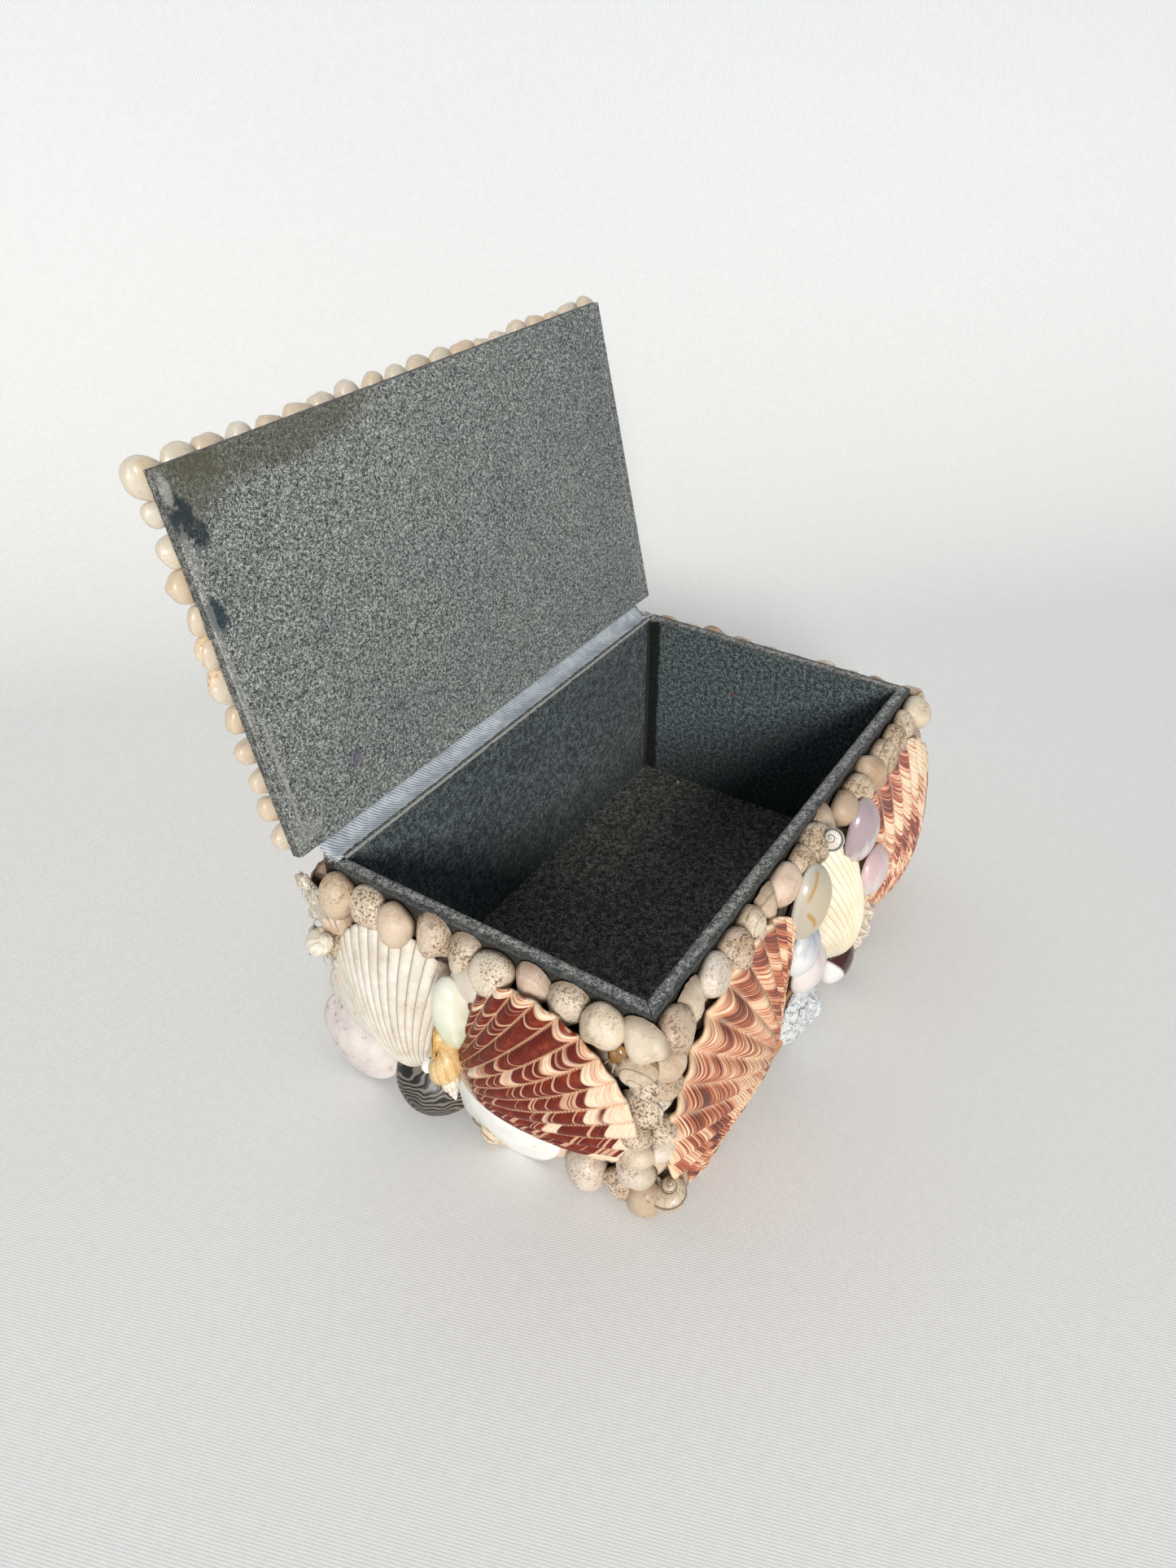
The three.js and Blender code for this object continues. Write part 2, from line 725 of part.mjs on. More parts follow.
// Larger shells on the plain back and right walls
right.shell( 'cockle_right', 'cream', cockle( 0.694 ), { at: [ - 0.2, 0.24 ], turn: 80, stand: 0.042, tilt: 1 } );
right.shell( 'scallop_right', 'calico', scallop( 0.694 ), { at: [ 0.22, 0.22 ], turn: 98, stand: 0.042, tilt: 2 } );
back.shell( 'scallop_back', 'calico', scallop( 0.75 ), { at: [ 0, 0.18 ], turn: 90, stand: 0.042, tilt: 1 } );
back.shell( 'cockle_back_left', 'cream', cockle( 0.639 ), { at: [ - 0.31, 0.22 ], turn: 96, stand: 0.042, tilt: 1 } );
back.shell( 'cockle_back_right', 'cream', cockle( 0.639 ), { at: [ 0.31, 0.22 ], turn: 82, stand: 0.042, tilt: 1 } );

// Lid, laid out closed about the hinge line and then swung open
const lid = new THREE.Group();
lid.position.set( 0, hingeY, hingeZ );
lid.rotation.x = - openAngle * degrees;
group.add( lid );

const lidX = [ - halfL - lidOverhangLeft, halfL + lidOverhangRight ];
const lidY = [ - hingeEdge - lidWidth, - hingeEdge ];
addPiece( lid, 'lid_lining', 'felt', block( [ lidX[ 0 ], lidY[ 0 ], 0 ], [ lidX[ 1 ], lidY[ 1 ], lidFelt ] ) );
addPiece( lid, 'lid_board', 'board', block(
	[ lidX[ 0 ], lidY[ 0 ], lidFelt ], [ lidX[ 1 ], lidY[ 1 ], lidThickness ] ) );

const top = new Face( lidLength, lidWidth );
top.group.position.set( ( lidX[ 0 ] + lidX[ 1 ] ) / 2, lidY[ 0 ], lidThickness );
lid.add( top.group );
const lidRow = { height: lidRowWidth, depth: lidRowDepth, pitch: lidShellPitch };
const rowInset = lidRowWidth / 2 - lidRowProud;
const sideFrom = rowInset + lidRowWidth / 2 + seatGap;
const sideTo = lidWidth - 2 * seatGap - lidRowWidth - seatGap;
top.row( 'lid_row_front', { ...lidRow, from: - lidLength / 2 - lidRowProud, to: lidLength / 2 + lidRowProud, line: rowInset } );
top.row( 'lid_row_back', { ...lidRow, from: - lidLength / 2, to: lidLength / 2, line: lidWidth - 2 * seatGap - lidRowWidth / 2 } );
top.row( 'lid_row_left', { ...lidRow, from: sideFrom, to: sideTo, line: - lidLength / 2 + rowInset, upright: true } );
top.row( 'lid_row_right', { ...lidRow, from: sideFrom, to: sideTo, line: lidLength / 2 - rowInset, upright: true } );
top.shell( 'scallop_lid', 'calico', scallop( 0.833 ), { at: [ 0, 0.2 ], stand: 0.021, tilt: 1 } );
top.shell( 'cockle_lid_left', 'cream', cockle( 0.722 ), { at: [ - 0.29, 0.22 ], turn: 100, stand: 0.021, tilt: 1 } );
top.shell( 'cockle_lid_right', 'cream', cockle( 0.722 ), { at: [ 0.29, 0.22 ], turn: 80, stand: 0.021, tilt: 1 } );

export default group;
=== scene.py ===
import math
import random

import bmesh
import bpy
from mathutils import Matrix, Vector, noise


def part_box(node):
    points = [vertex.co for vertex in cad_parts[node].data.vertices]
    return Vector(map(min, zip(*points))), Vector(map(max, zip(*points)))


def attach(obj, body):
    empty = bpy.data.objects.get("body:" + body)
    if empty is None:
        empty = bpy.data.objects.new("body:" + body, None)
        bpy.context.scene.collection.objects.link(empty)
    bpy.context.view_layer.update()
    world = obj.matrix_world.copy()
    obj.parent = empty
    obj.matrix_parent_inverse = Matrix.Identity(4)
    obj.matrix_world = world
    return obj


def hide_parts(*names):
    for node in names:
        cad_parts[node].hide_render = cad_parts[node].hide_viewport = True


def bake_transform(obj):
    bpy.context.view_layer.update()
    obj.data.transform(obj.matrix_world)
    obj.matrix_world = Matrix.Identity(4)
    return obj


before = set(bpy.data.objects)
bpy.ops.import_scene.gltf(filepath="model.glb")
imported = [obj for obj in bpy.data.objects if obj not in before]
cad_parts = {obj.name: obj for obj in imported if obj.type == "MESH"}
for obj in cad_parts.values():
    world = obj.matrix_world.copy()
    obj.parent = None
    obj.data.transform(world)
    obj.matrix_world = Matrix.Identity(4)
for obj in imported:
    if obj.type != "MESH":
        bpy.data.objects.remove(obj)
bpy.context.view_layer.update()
mm = 0.001

# Camera: a phone's wide lens close above the box's left front corner, looking down into it,
# so the near corner looks large.
camera_spot = Vector((-0.2300, -0.1292, 0.2598))
camera_right = Vector((0.5450, -0.8384, -0.0056))
camera_forward = Vector((0.6724, 0.4411, -0.5944))
camera_up = camera_right.cross(camera_forward)
lens = bpy.data.cameras.new("photo_camera")
lens.sensor_width = 36
lens.lens = 24.98
lens.clip_start = 0.01
camera = bpy.data.objects.new("photo_camera", lens)
turned = Matrix((camera_right, camera_up, -camera_forward)).transposed().to_4x4()
camera.matrix_world = Matrix.Translation(camera_spot) @ turned
bpy.context.scene.collection.objects.link(camera)
bpy.context.scene.camera = camera

# Light: one soft window behind the camera and to the left, not high, with pale daylight all round.
# The front and left walls throw their shade on the inside of the right and back walls.
window_from = Vector((-0.80, -0.60, 0.48)).normalized()
window_distance = 3.0
window_light = bpy.data.lights.new("window", "AREA")
window_light.shape = "DISK"
window_light.size = 0.9
window_light.energy = 87
window_light.color = (1.0, 0.975, 0.94)
window = bpy.data.objects.new("window", window_light)
window.rotation_euler = window_from.to_track_quat("Z", "Y").to_euler()
window.location = window_distance * window_from
bpy.context.scene.collection.objects.link(window)
daylight = bpy.data.worlds.new("daylight")
daylight.use_nodes = True
daylight.node_tree.nodes["Background"].inputs["Color"].default_value = (0.88, 0.94, 1.0, 1)
daylight.node_tree.nodes["Background"].inputs["Strength"].default_value = 0.31
bpy.context.scene.world = daylight
bpy.context.scene.view_settings.view_transform = "Standard"


# Backdrop: a pale, finely woven cloth that lies under the box and rises behind it.
# The weave is a shared effect, because the hinge tape is woven too.
class Value:
    """One output of a node. A sum written with it becomes a node of the same tree."""

    def __init__(self, socket):
        self.socket = socket

    def __add__(self, other):
        return calc("ADD", self, other)

    def __radd__(self, other):
        return calc("ADD", other, self)

    def __sub__(self, other):
        return calc("SUBTRACT", self, other)

    def __rsub__(self, other):
        return calc("SUBTRACT", other, self)

    def __mul__(self, other):
        return calc("MULTIPLY", self, other)

    def __rmul__(self, other):
        return calc("MULTIPLY", other, self)

    def __truediv__(self, other):
        return calc("DIVIDE", self, other)

    def __rtruediv__(self, other):
        return calc("DIVIDE", other, self)

    def __abs__(self):
        return calc("ABSOLUTE", self)


def feed(target, value):
    """Gives an input a plain value, or links it to an output."""
    if isinstance(value, Value):
        target.id_data.links.new(value.socket, target)
    elif isinstance(value, bpy.types.NodeSocket):
        target.id_data.links.new(value, target)
    else:
        target.default_value = (*value, 1) if target.type == "RGBA" else value


def feed_by_name(node, feeds):
    """Feeds the inputs whose names these are, written small and with low lines for spaces."""
    for target in node.inputs:
        label = target.name.lower().replace(" ", "_")
        if label in feeds:
            feed(target, feeds[label])


def add_node(tree, kind, feeds=(), **settings):
    """A node with its settings; feeds are pairs of an input and what it is fed."""
    made = tree.nodes.new(kind)
    for name, value in settings.items():
        setattr(made, name, value)
    for label, value in feeds:
        feed(made.inputs[label], value)
    return made


def values_of(node):
    """What a node gives, by the names of its outputs."""
    return {output.name: Value(output) for output in node.outputs if output.enabled}


def tree_of(values):
    """The tree that the first linked one of these values lies in."""
    return next(value.socket.id_data for value in values if isinstance(value, Value))


def calc(operation, *values):
    """The result of one sum on numbers."""
    made = add_node(tree_of(values), "ShaderNodeMath", enumerate(values), operation=operation)
    return Value(made.outputs[0])


def vector_sum(operation, *values):
    """The result of one sum on places: a number for a length or a distance, or else a place."""
    made = add_node(tree_of(values), "ShaderNodeVectorMath", enumerate(values), operation=operation)
    return next(iter(values_of(made).values()))


def axes_of(place):
    return values_of(add_node(tree_of([place]), "ShaderNodeSeparateXYZ", [("Vector", place)]))


def combined(tree, *parts):
    """A place from its X, Y and Z."""
    return Value(add_node(tree, "ShaderNodeCombineXYZ", enumerate(parts)).outputs[0])


def place_in(tree):
    """The place on the object, in metres."""
    return Value(add_node(tree, "ShaderNodeTexCoord").outputs["Object"])


def noise_at(place, scale, detail, roughness=0.5, **more):
    """Cloudy noise between 0 and 1."""
    feeds = {"vector": place, "scale": scale, "detail": detail, "roughness": roughness, **more}
    made = add_node(tree_of([place]), "ShaderNodeTexNoise")
    feed_by_name(made, feeds)
    return values_of(made)["Fac"]


def colour_ramp(value, stops):
    """A colour for each value; stops are pairs of a value and a colour of three numbers."""
    made = add_node(tree_of([value]), "ShaderNodeValToRGB", [("Fac", value)])
    stretch = made.color_ramp
    while len(stretch.elements) < len(stops):
        stretch.elements.new(1)
    for element, (place, colour) in zip(stretch.elements, stops):
        element.position = place
        element.color = (*colour, 1)
    return Value(made.outputs["Color"])


def grade(value, low, high, to_low=0.0, to_high=1.0):
    """A value moved from one range into another, and held there."""
    feeds = [("Value", value), ("From Min", low), ("From Max", high), ("To Min", to_low), ("To Max", to_high)]
    return Value(add_node(tree_of([value]), "ShaderNodeMapRange", feeds).outputs["Result"])


def blend_colours(share, first, second, how="MIX"):
    """The second colour over the first by a share, or blended with it in another way."""
    made = add_node(tree_of([share, first, second]), "ShaderNodeMix", data_type="RGBA", blend_type=how)
    feeds = {"Factor_Float": share, "A_Color": first, "B_Color": second}
    for target in made.inputs:
        if target.identifier in feeds:
            feed(target, feeds[target.identifier])
    return values_of(made)["Result"]


def start_material(name):
    """A new material, its tree and its surface shader."""
    made = bpy.data.materials.new(name)
    made.use_nodes = True
    return made, made.node_tree, made.node_tree.nodes["Principled BSDF"]


def paint(shader, colour, **finish):
    """A surface's colour, and its finish by the names of the shader's inputs."""
    feed_by_name(shader, {"base_color": colour, **finish})


def relief(shader, height, depth):
    """Bump of that depth in metres from a height between 0 and 1."""
    feeds = [("Height", height), ("Distance", depth), ("Strength", 1.0)]
    feed(shader.inputs["Normal"], add_node(shader.id_data, "ShaderNodeBump", feeds).outputs["Normal"])


def start_effect(name, takes, gives):
    """A shared effect: a node group with numbers in and colours, masks or values out."""
    made = bpy.data.node_groups.new(name, "ShaderNodeTree")
    for label, value in takes:
        kind = "NodeSocketVector" if label == "Vector" else "NodeSocketFloat"
        socket = made.interface.new_socket(label, in_out="INPUT", socket_type=kind)
        if value is not None:
            socket.default_value = value
    for label in gives:
        made.interface.new_socket(label, in_out="OUTPUT", socket_type="NodeSocketFloat")
    given = values_of(add_node(made, "NodeGroupInput"))
    return made, given, add_node(made, "NodeGroupOutput").inputs


def use_effect(effect, **feeds):
    """What a shared effect gives; its inputs are fed by name, at least one of them by a value."""
    made = add_node(tree_of(feeds.values()), "ShaderNodeGroup", node_tree=effect)
    feed_by_name(made, feeds)
    return values_of(made)


weave, given, made = start_effect(
    "weave", [("Vector", None), ("Threads", 1000.0), ("Diagonal", 0.0)], ["Height", "Shade"])
along = axes_of(given["Vector"])
warp_place = along["X"] + along["Y"] * given["Diagonal"]
weft_place = along["Y"] - along["X"] * given["Diagonal"]
warp = abs(calc("SINE", warp_place * given["Threads"]))
weft = abs(calc("SINE", weft_place * given["Threads"]))
feed(made["Height"], warp * weft)
slub = noise_at(given["Vector"], 400.0, 3.0)
feed(made["Shade"], slub * 0.5 + warp * 0.5)

cloth, tree, shader = start_material("backdrop_cloth")
where = place_in(tree)
threads = use_effect(weave, vector=where, threads=4200.0, diagonal=0.35)
thread_colour = colour_ramp(
    threads["Shade"], [(0.2, (0.76, 0.755, 0.74)), (0.8, (0.85, 0.85, 0.84))])
height = axes_of(where)["Z"]
# Painted shade: the cloth turns darker and cooler as it rises, to temper the window's light on the rise.
painted_shade_by_height = colour_ramp(height, [(0.02, (1.0, 1.0, 1.0)), (0.3, (0.87, 0.90, 0.93))])
paint(shader, blend_colours(1.0, thread_colour, painted_shade_by_height, "MULTIPLY"), roughness=0.9)
relief(shader, threads["Height"], 0.00006)

rise_direction = Vector((0.719, 0.695, 0))
side_direction = Vector((0.695, -0.719, 0))
rise_start = 0.19
rise_radius = 0.22
rise_angle = math.radians(84)
rise_steps = 12
cloth_reach = 1.6
profile = [(-cloth_reach, 0.0), (-0.3, 0.0), (0.0, 0.0), (rise_start, 0.0)]
for step in range(1, rise_steps + 1):
    bend = rise_angle * step / rise_steps
    profile.append((rise_start + rise_radius * math.sin(bend), rise_radius * (1 - math.cos(bend))))
profile.append((profile[-1][0] + 0.16, profile[-1][1] + 1.5))
points = []
faces = []
for out, up in profile:
    for side in (-cloth_reach, cloth_reach):
        points.append(out * rise_direction + side * side_direction + Vector((0, 0, up)))
for row in range(len(profile) - 1):
    faces.append((2 * row, 2 * row + 2, 2 * row + 3, 2 * row + 1))
backdrop_mesh = bpy.data.meshes.new("backdrop")
backdrop_mesh.from_pydata(points, [], [face[::-1] for face in faces])
backdrop_mesh.materials.append(cloth)
for face in backdrop_mesh.polygons:
    face.use_smooth = True
backdrop = bpy.data.objects.new("backdrop", backdrop_mesh)
bpy.context.scene.collection.objects.link(backdrop)

# Carcass: base, four walls and lid cut from thick grey-brown card and glued edge to edge.
# The CAD nodes have the right shape, so they stay and get a raw card texture, painted near-black brown:
# painted shade for the dark gap where card shows between the rim felt and the shells.
card, tree, shader = start_material("raw_card")
where = place_in(tree)
pulp = noise_at(where, 900.0, 6.0, 0.7)
clouds = noise_at(where, 45.0, 3.0)
# Painted shade: the card is far darker than grey-brown card, so that it reads as the shadow gap below the rim
# felt.
pulp_colour_painted_dark = colour_ramp(
    pulp * 0.6 + clouds * 0.4,
    [(0.3, (0.022, 0.016, 0.012)), (0.55, (0.042, 0.032, 0.024)), (0.8, (0.075, 0.058, 0.044))])
paint(shader, pulp_colour_painted_dark, roughness=0.92)
relief(shader, pulp, 0.00015)


def cover_node(node, material):
    """A CAD node keeps its shape and takes this material."""
    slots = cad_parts[node].data.materials
    slots.clear()
    slots.append(material)


for board in ("base_board", "wall_front", "wall_back", "wall_left", "wall_right"):
    cover_node(board, card)


# Linings: sheets of short grey felt glued inside the box, rolled over the rim of the front wall
# and the two end walls. The felt is heathered: pale and near-black fibres pressed together.
def link_piece(name, mesh, *materials):
    """A new object from a mesh, at the origin, with its materials."""
    made = bpy.data.objects.new(name, mesh)
    for material in materials:
        mesh.materials.append(material)
    bpy.context.scene.collection.objects.link(made)
    return made


def glue_on(piece, body, slot, *nodes):
    """The piece moves with a body and stands for these nodes; the slot is not used."""
    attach(piece, body)
    if nodes:
        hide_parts(*nodes)


def mesh_from(shape, name, place=None):
    """A smooth-shaded mesh of a shape, put in place."""
    mesh = bpy.data.meshes.new(name)
    shape.to_mesh(mesh)
    shape.free()
    for face in mesh.polygons:
        face.use_smooth = True
    if place is not None:
        mesh.transform(place)
    return mesh


def settle_modifiers(piece):
    """The piece's mesh as its modifiers leave it, and no modifiers."""
    bpy.context.view_layer.update()
    graph = bpy.context.evaluated_depsgraph_get()
    final = bpy.data.meshes.new_from_object(
        piece.evaluated_get(graph), preserve_all_data_layers=True, depsgraph=graph)
    piece.modifiers.clear()
    piece.data = final
    return piece


def soft_edged(node, name, radius, material):
    """A copy of a board-like node with rounded edges."""
    shape = bmesh.new()
    shape.from_mesh(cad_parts[node].data)
    bmesh.ops.remove_doubles(shape, verts=shape.verts, dist=1e-6)
    bmesh.ops.dissolve_limit(
        shape, angle_limit=math.radians(2), verts=shape.verts, edges=shape.edges)
    piece = link_piece(name, mesh_from(shape, name), material)
    rounding = piece.modifiers.new("rounding", "BEVEL")
    rounding.width = radius
    rounding.segments = 3
    rounding.limit_method = "ANGLE"
    piece.modifiers.new("even_shading", "WEIGHTED_NORMAL")
    return settle_modifiers(piece)


heather, given, made = start_effect(
    "heathered felt", [("Vector", None), ("Flecks", 1500.0)], ["Fleck", "Cloud", "Height"])
fine = noise_at(given["Vector"], given["Flecks"], 3.0, 0.75)
coarse = noise_at(given["Vector"], given["Flecks"] * 0.35, 2.0)
fleck = fine * 0.72 + coarse * 0.28
feed(made["Fleck"], grade(fleck, 0.39, 0.61))
cloud = noise_at(given["Vector"], 38.0, 4.0)
feed(made["Cloud"], grade(cloud, 0.3, 0.7))
feed(made["Height"], fine)


def felt_material(name, dark, middle, pale, flecks=1500.0):
    """Grey felt between a dark and a pale fibre colour; gives back what a stain can be laid on."""
    material, tree, shader = start_material(name)
    where = place_in(tree)
    fibre = use_effect(heather, vector=where, flecks=flecks)
    colour = colour_ramp(fibre["Fleck"], [(0.08, dark), (0.5, middle), (0.95, pale)])
    shade = colour_ramp(fibre["Cloud"], [(0.0, (0.86, 0.86, 0.87)), (1.0, (1.0, 1.0, 0.98))])
    colour = blend_colours(1.0, colour, shade, "MULTIPLY")
    paint(shader, colour, roughness=0.95, specular_ior_level=0.2, sheen_weight=0.06,
        sheen_roughness=0.5)
    relief(shader, fibre["Height"], 0.0003)
    return material, tree, shader, where, colour


# Painted shade: the wall felt is a much darker copy of the rim felt, standing in for the shade inside the
# box.
wall_felt, tree, shader, where, colour = felt_material(
    "wall_felt", (0.006, 0.010, 0.012), (0.052, 0.070, 0.076), (0.27, 0.32, 0.325), 2000.0)
# Painted shade: the wall felt turns nearly black close to the back right corner, where the gap lies in shade.
back_right_corner = (0.080, 0.0465, 0.036)
corner_stretch = (2.4, 1.0, 0.0)
from_shaded_corner = vector_sum("SUBTRACT", where, back_right_corner)
from_shaded_corner = vector_sum("LENGTH", vector_sum("MULTIPLY", from_shaded_corner, corner_stretch))
ragged = noise_at(where, 420.0, 5.0, 0.7)
from_shaded_corner = from_shaded_corner + (ragged - 0.5) * 0.003
colour = blend_colours(grade(from_shaded_corner, 0.0050, 0.0040, 0.0, 0.96), colour, (0.003, 0.006, 0.003))
# Painted shade: the walls darken low down and towards the front, for the shadow that the front wall throws
# inside the box.
wall_spot = axes_of(where)
above_painted_shade = wall_spot["Z"] * 15.0 + wall_spot["Y"] * 6.0
colour = blend_colours(grade(above_painted_shade, 0.75, 0.05, 0.0, 0.75), colour, (0.008, 0.013, 0.016))
paint(shader, colour)
rim_felt, tree, shader, where, colour = felt_material(
    "rim_felt", (0.05, 0.05, 0.05), (0.21, 0.215, 0.205), (0.50, 0.50, 0.47), 1700.0)
rim_spot = axes_of(where)
# Painted shade: the rim felt darkens away from its crest on both sides, as shade on the rolled edge.
crest_x, crest_y = 0.0818, 0.0483
from_crest = abs(calc("MAXIMUM", abs(rim_spot["X"]) - crest_x, abs(rim_spot["Y"]) - crest_y))
crest_ragged = noise_at(where, 500.0, 4.0, 0.7)
from_crest = from_crest + (crest_ragged - 0.5) * 0.0016
colour = blend_colours(grade(from_crest, 0.0007, 0.0019, 0.0, 0.8), colour, (0.022, 0.026, 0.027))
paint(shader, colour)
# Painted shade: the floor felt is also a darker copy of the rim felt, for the shade inside the box.
floor_felt = felt_material(
    "floor_felt", (0.012, 0.013, 0.012), (0.088, 0.088, 0.078), (0.30, 0.29, 0.26))[0]
rim_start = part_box("wall_front")[1].z - 0.0002
for node, material, radius in (
    ("lining_floor", floor_felt, 0.3 * mm), ("lining_front", wall_felt, 0.75 * mm),
    ("lining_back", wall_felt, 0.3 * mm), ("lining_left", wall_felt, 0.75 * mm),
    ("lining_right", wall_felt, 0.75 * mm),
):
    sheet = soft_edged(node, "felt_" + node.removeprefix("lining_"), radius, material)
    sheet.data.materials.append(rim_felt)
    for face in sheet.data.polygons:
        if face.center.z > rim_start and node != "lining_back":
            face.material_index = 1
    glue_on(sheet, "box", "felt", node)

# The lid board's edges are wrapped in felt. A near-black strip of felt fills the corner that the right lining
# leaves bare: painted shade for the dark gap there.
edge_felt = felt_material(
    "edge_felt", (0.02, 0.02, 0.02), (0.10, 0.105, 0.10), (0.36, 0.36, 0.34), 1900.0)[0]
cover_node("lid_board", edge_felt)
lip_low, lip_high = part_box("lining_back")
strip_start = Vector((
    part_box("lining_right")[0].x + 0.35 * mm, lip_low.y - 3.6 * mm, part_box("lining_floor")[1].z))
strip_end = Vector((
    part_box("wall_right")[0].x - 0.05 * mm, lip_low.y - 0.1 * mm, rim_start - 1.4 * mm))
strip_shape = bmesh.new()
bmesh.ops.create_cube(strip_shape, size=1.0)
bmesh.ops.scale(strip_shape, vec=strip_end - strip_start, verts=strip_shape.verts)
bmesh.ops.translate(strip_shape, vec=(strip_start + strip_end) / 2, verts=strip_shape.verts)
bmesh.ops.subdivide_edges(strip_shape, edges=strip_shape.edges, cuts=7, use_grid_fill=True)
for vertex in strip_shape.verts:
    vertex.co.x += 0.12 * mm * math.sin(900 * vertex.co.z)
strip_mesh = bpy.data.meshes.new("felt_corner_strip")
strip_shape.to_mesh(strip_mesh)
strip_shape.free()
corner_felt = felt_material(
    "corner_felt", (0.001, 0.002, 0.001), (0.004, 0.007, 0.004), (0.018, 0.023, 0.016), 2000.0)[0]
corner_strip = link_piece("felt_corner_strip", strip_mesh, corner_felt)
glue_on(corner_strip, "box", "felt")

# The back lining's top edge is worn pale and curls a little over the front of the hinge tape.
lip_felt, tree, shader, where, colour = felt_material(
    "lip_felt", (0.03, 0.035, 0.035), (0.10, 0.11, 0.11), (0.34, 0.35, 0.33), 2000.0)
lip_place = axes_of(where)["Y"]
worn = noise_at(where, 700.0, 4.0, 0.7)
lip_place = lip_place + (worn - 0.5) * 0.0022
colour = blend_colours(grade(lip_place, 0.0471, 0.0467, 0.0, 0.75), colour, (0.50, 0.49, 0.45))
paint(shader, colour)
lip_steps = 150
lip_rows = []
for step in range(lip_steps + 1):
    share = step / lip_steps
    x = lip_low.x + 0.1 * mm + share * (lip_high.x - lip_low.x - 0.2 * mm)
    reach = 1.75 * mm + 0.35 * mm * noise.noise(Vector((170 * share, 0.5, 0.2)))
    lift = 0.05 * mm * noise.noise(Vector((90 * share, 4.5, 1.2)))
    front = lip_low.y - 0.04 * mm + 0.12 * mm * noise.noise(Vector((260 * share, 2.5, 3.0)))
    top = lip_high.z + 0.17 * mm + lift
    lip_rows.append([(x, front, lip_high.z - 0.5 * mm), (x, front, lip_high.z),
        (x, front + 0.25 * mm, top), (x, front + 0.6 * reach, top),
        (x, front + reach, lip_high.z + 0.04 * mm),
        (x, front + 0.5 * reach, lip_high.z - 0.3 * mm)])
lip_across = len(lip_rows[0])
lip_faces = []
for start in range(0, lip_steps * lip_across, lip_across):
    for b in range(lip_across):
        after = start + (b + 1) % lip_across
        lip_faces.append((start + b, start + lip_across + b, lip_across + after, after))
last_row = range(lip_steps * lip_across, (lip_steps + 1) * lip_across)
lip_faces += [tuple(range(lip_across)), tuple(reversed(last_row))]
lip_mesh = bpy.data.meshes.new("felt_back_lip")
lip_mesh.from_pydata([corner for row in lip_rows for corner in row], [], lip_faces)
lip_mesh.update()
lip = link_piece("felt_back_lip", lip_mesh, lip_felt)
glue_on(lip, "box", "felt")

# Lid lining: one piece of the same felt, browner and more worn. Glue has stained its front left
# corner olive, two spots are rubbed down to the dark ground, and its left edge is scuffed pale.
def stain(tree, along, up, centre, radii, ragged, noise_scale):
    """A soft-edged spot on the lid, 1 in its middle; along and up are the place on the lid."""
    lumps = noise_at(place_in(tree), noise_scale, 8.0, 0.65)
    over = (along - centre[0]) / radii[0]
    rise = (up - centre[1]) / radii[1]
    distance = calc("SQRT", over * over + rise * rise)
    wander = (lumps - 0.5) * ragged
    return grade(distance + wander, 1.1, 0.75)


lid_felt, tree, shader, where, colour = felt_material(
    "lid_felt", (0.006, 0.010, 0.010), (0.170, 0.185, 0.176), (0.82, 0.85, 0.80), 3500.0)
spot = axes_of(where)
hinge_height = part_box("lid_lining")[0].z
lid_rise = 0.9755
lid_up = (spot["Z"] - hinge_height) / lid_rise
scuff_colour = (0.46, 0.46, 0.42)
# Painted shade: the lid felt is darker and cooler towards its right end.
lid_painted_shade = grade(spot["X"], -0.01, 0.08, 0.0, 1.0)
colour = blend_colours(lid_painted_shade, colour, (0.80, 0.83, 0.85), "MULTIPLY")
for centre, radii, ragged, stain_colour, strength in (
    ((-0.055, 0.102), (0.036, 0.0085), 1.2, (0.085, 0.08, 0.045), 0.62),
    ((-0.080, 0.100), (0.010, 0.012), 1.5, (0.10, 0.095, 0.06), 0.6),
    ((-0.0860, 0.0915), (0.0034, 0.0062), 2.2, (0.022, 0.034, 0.042), 0.9),
    ((-0.0825, 0.0862), (0.0028, 0.0036), 2.0, (0.016, 0.028, 0.036), 0.85),
    ((-0.0864, 0.0680), (0.0026, 0.0044), 1.6, (0.020, 0.042, 0.055), 0.9),
    ((-0.0878, 0.0560), (0.0012, 0.022), 2.6, scuff_colour, 0.36),
    ((-0.0872, 0.0985), (0.0016, 0.0045), 3.0, (0.62, 0.61, 0.56), 0.5),
    ((-0.0870, 0.0830), (0.0014, 0.0060), 2.8, scuff_colour, 0.36),
    ((-0.0850, 0.0250), (0.0006, 0.0200), 1.0, scuff_colour, 0.55),
    ((-0.0840, 0.0060), (0.0050, 0.0035), 2.6, scuff_colour, 0.35),
    ((0.0880, 0.0400), (0.0005, 0.0460), 1.0, scuff_colour, 0.35),
    ((-0.0614, 0.0154), (0.0030, 0.0024), 1.0, (0.13, 0.11, 0.20), 0.5),
):
    mask = stain(tree, spot["X"], lid_up, centre, radii, ragged, 260.0)
    colour = blend_colours(mask * strength, colour, stain_colour)
paint(shader, colour)
glue_on(soft_edged("lid_lining", "felt_lid", 0.3 * mm, lid_felt), "lid", "felt", "lid_lining")

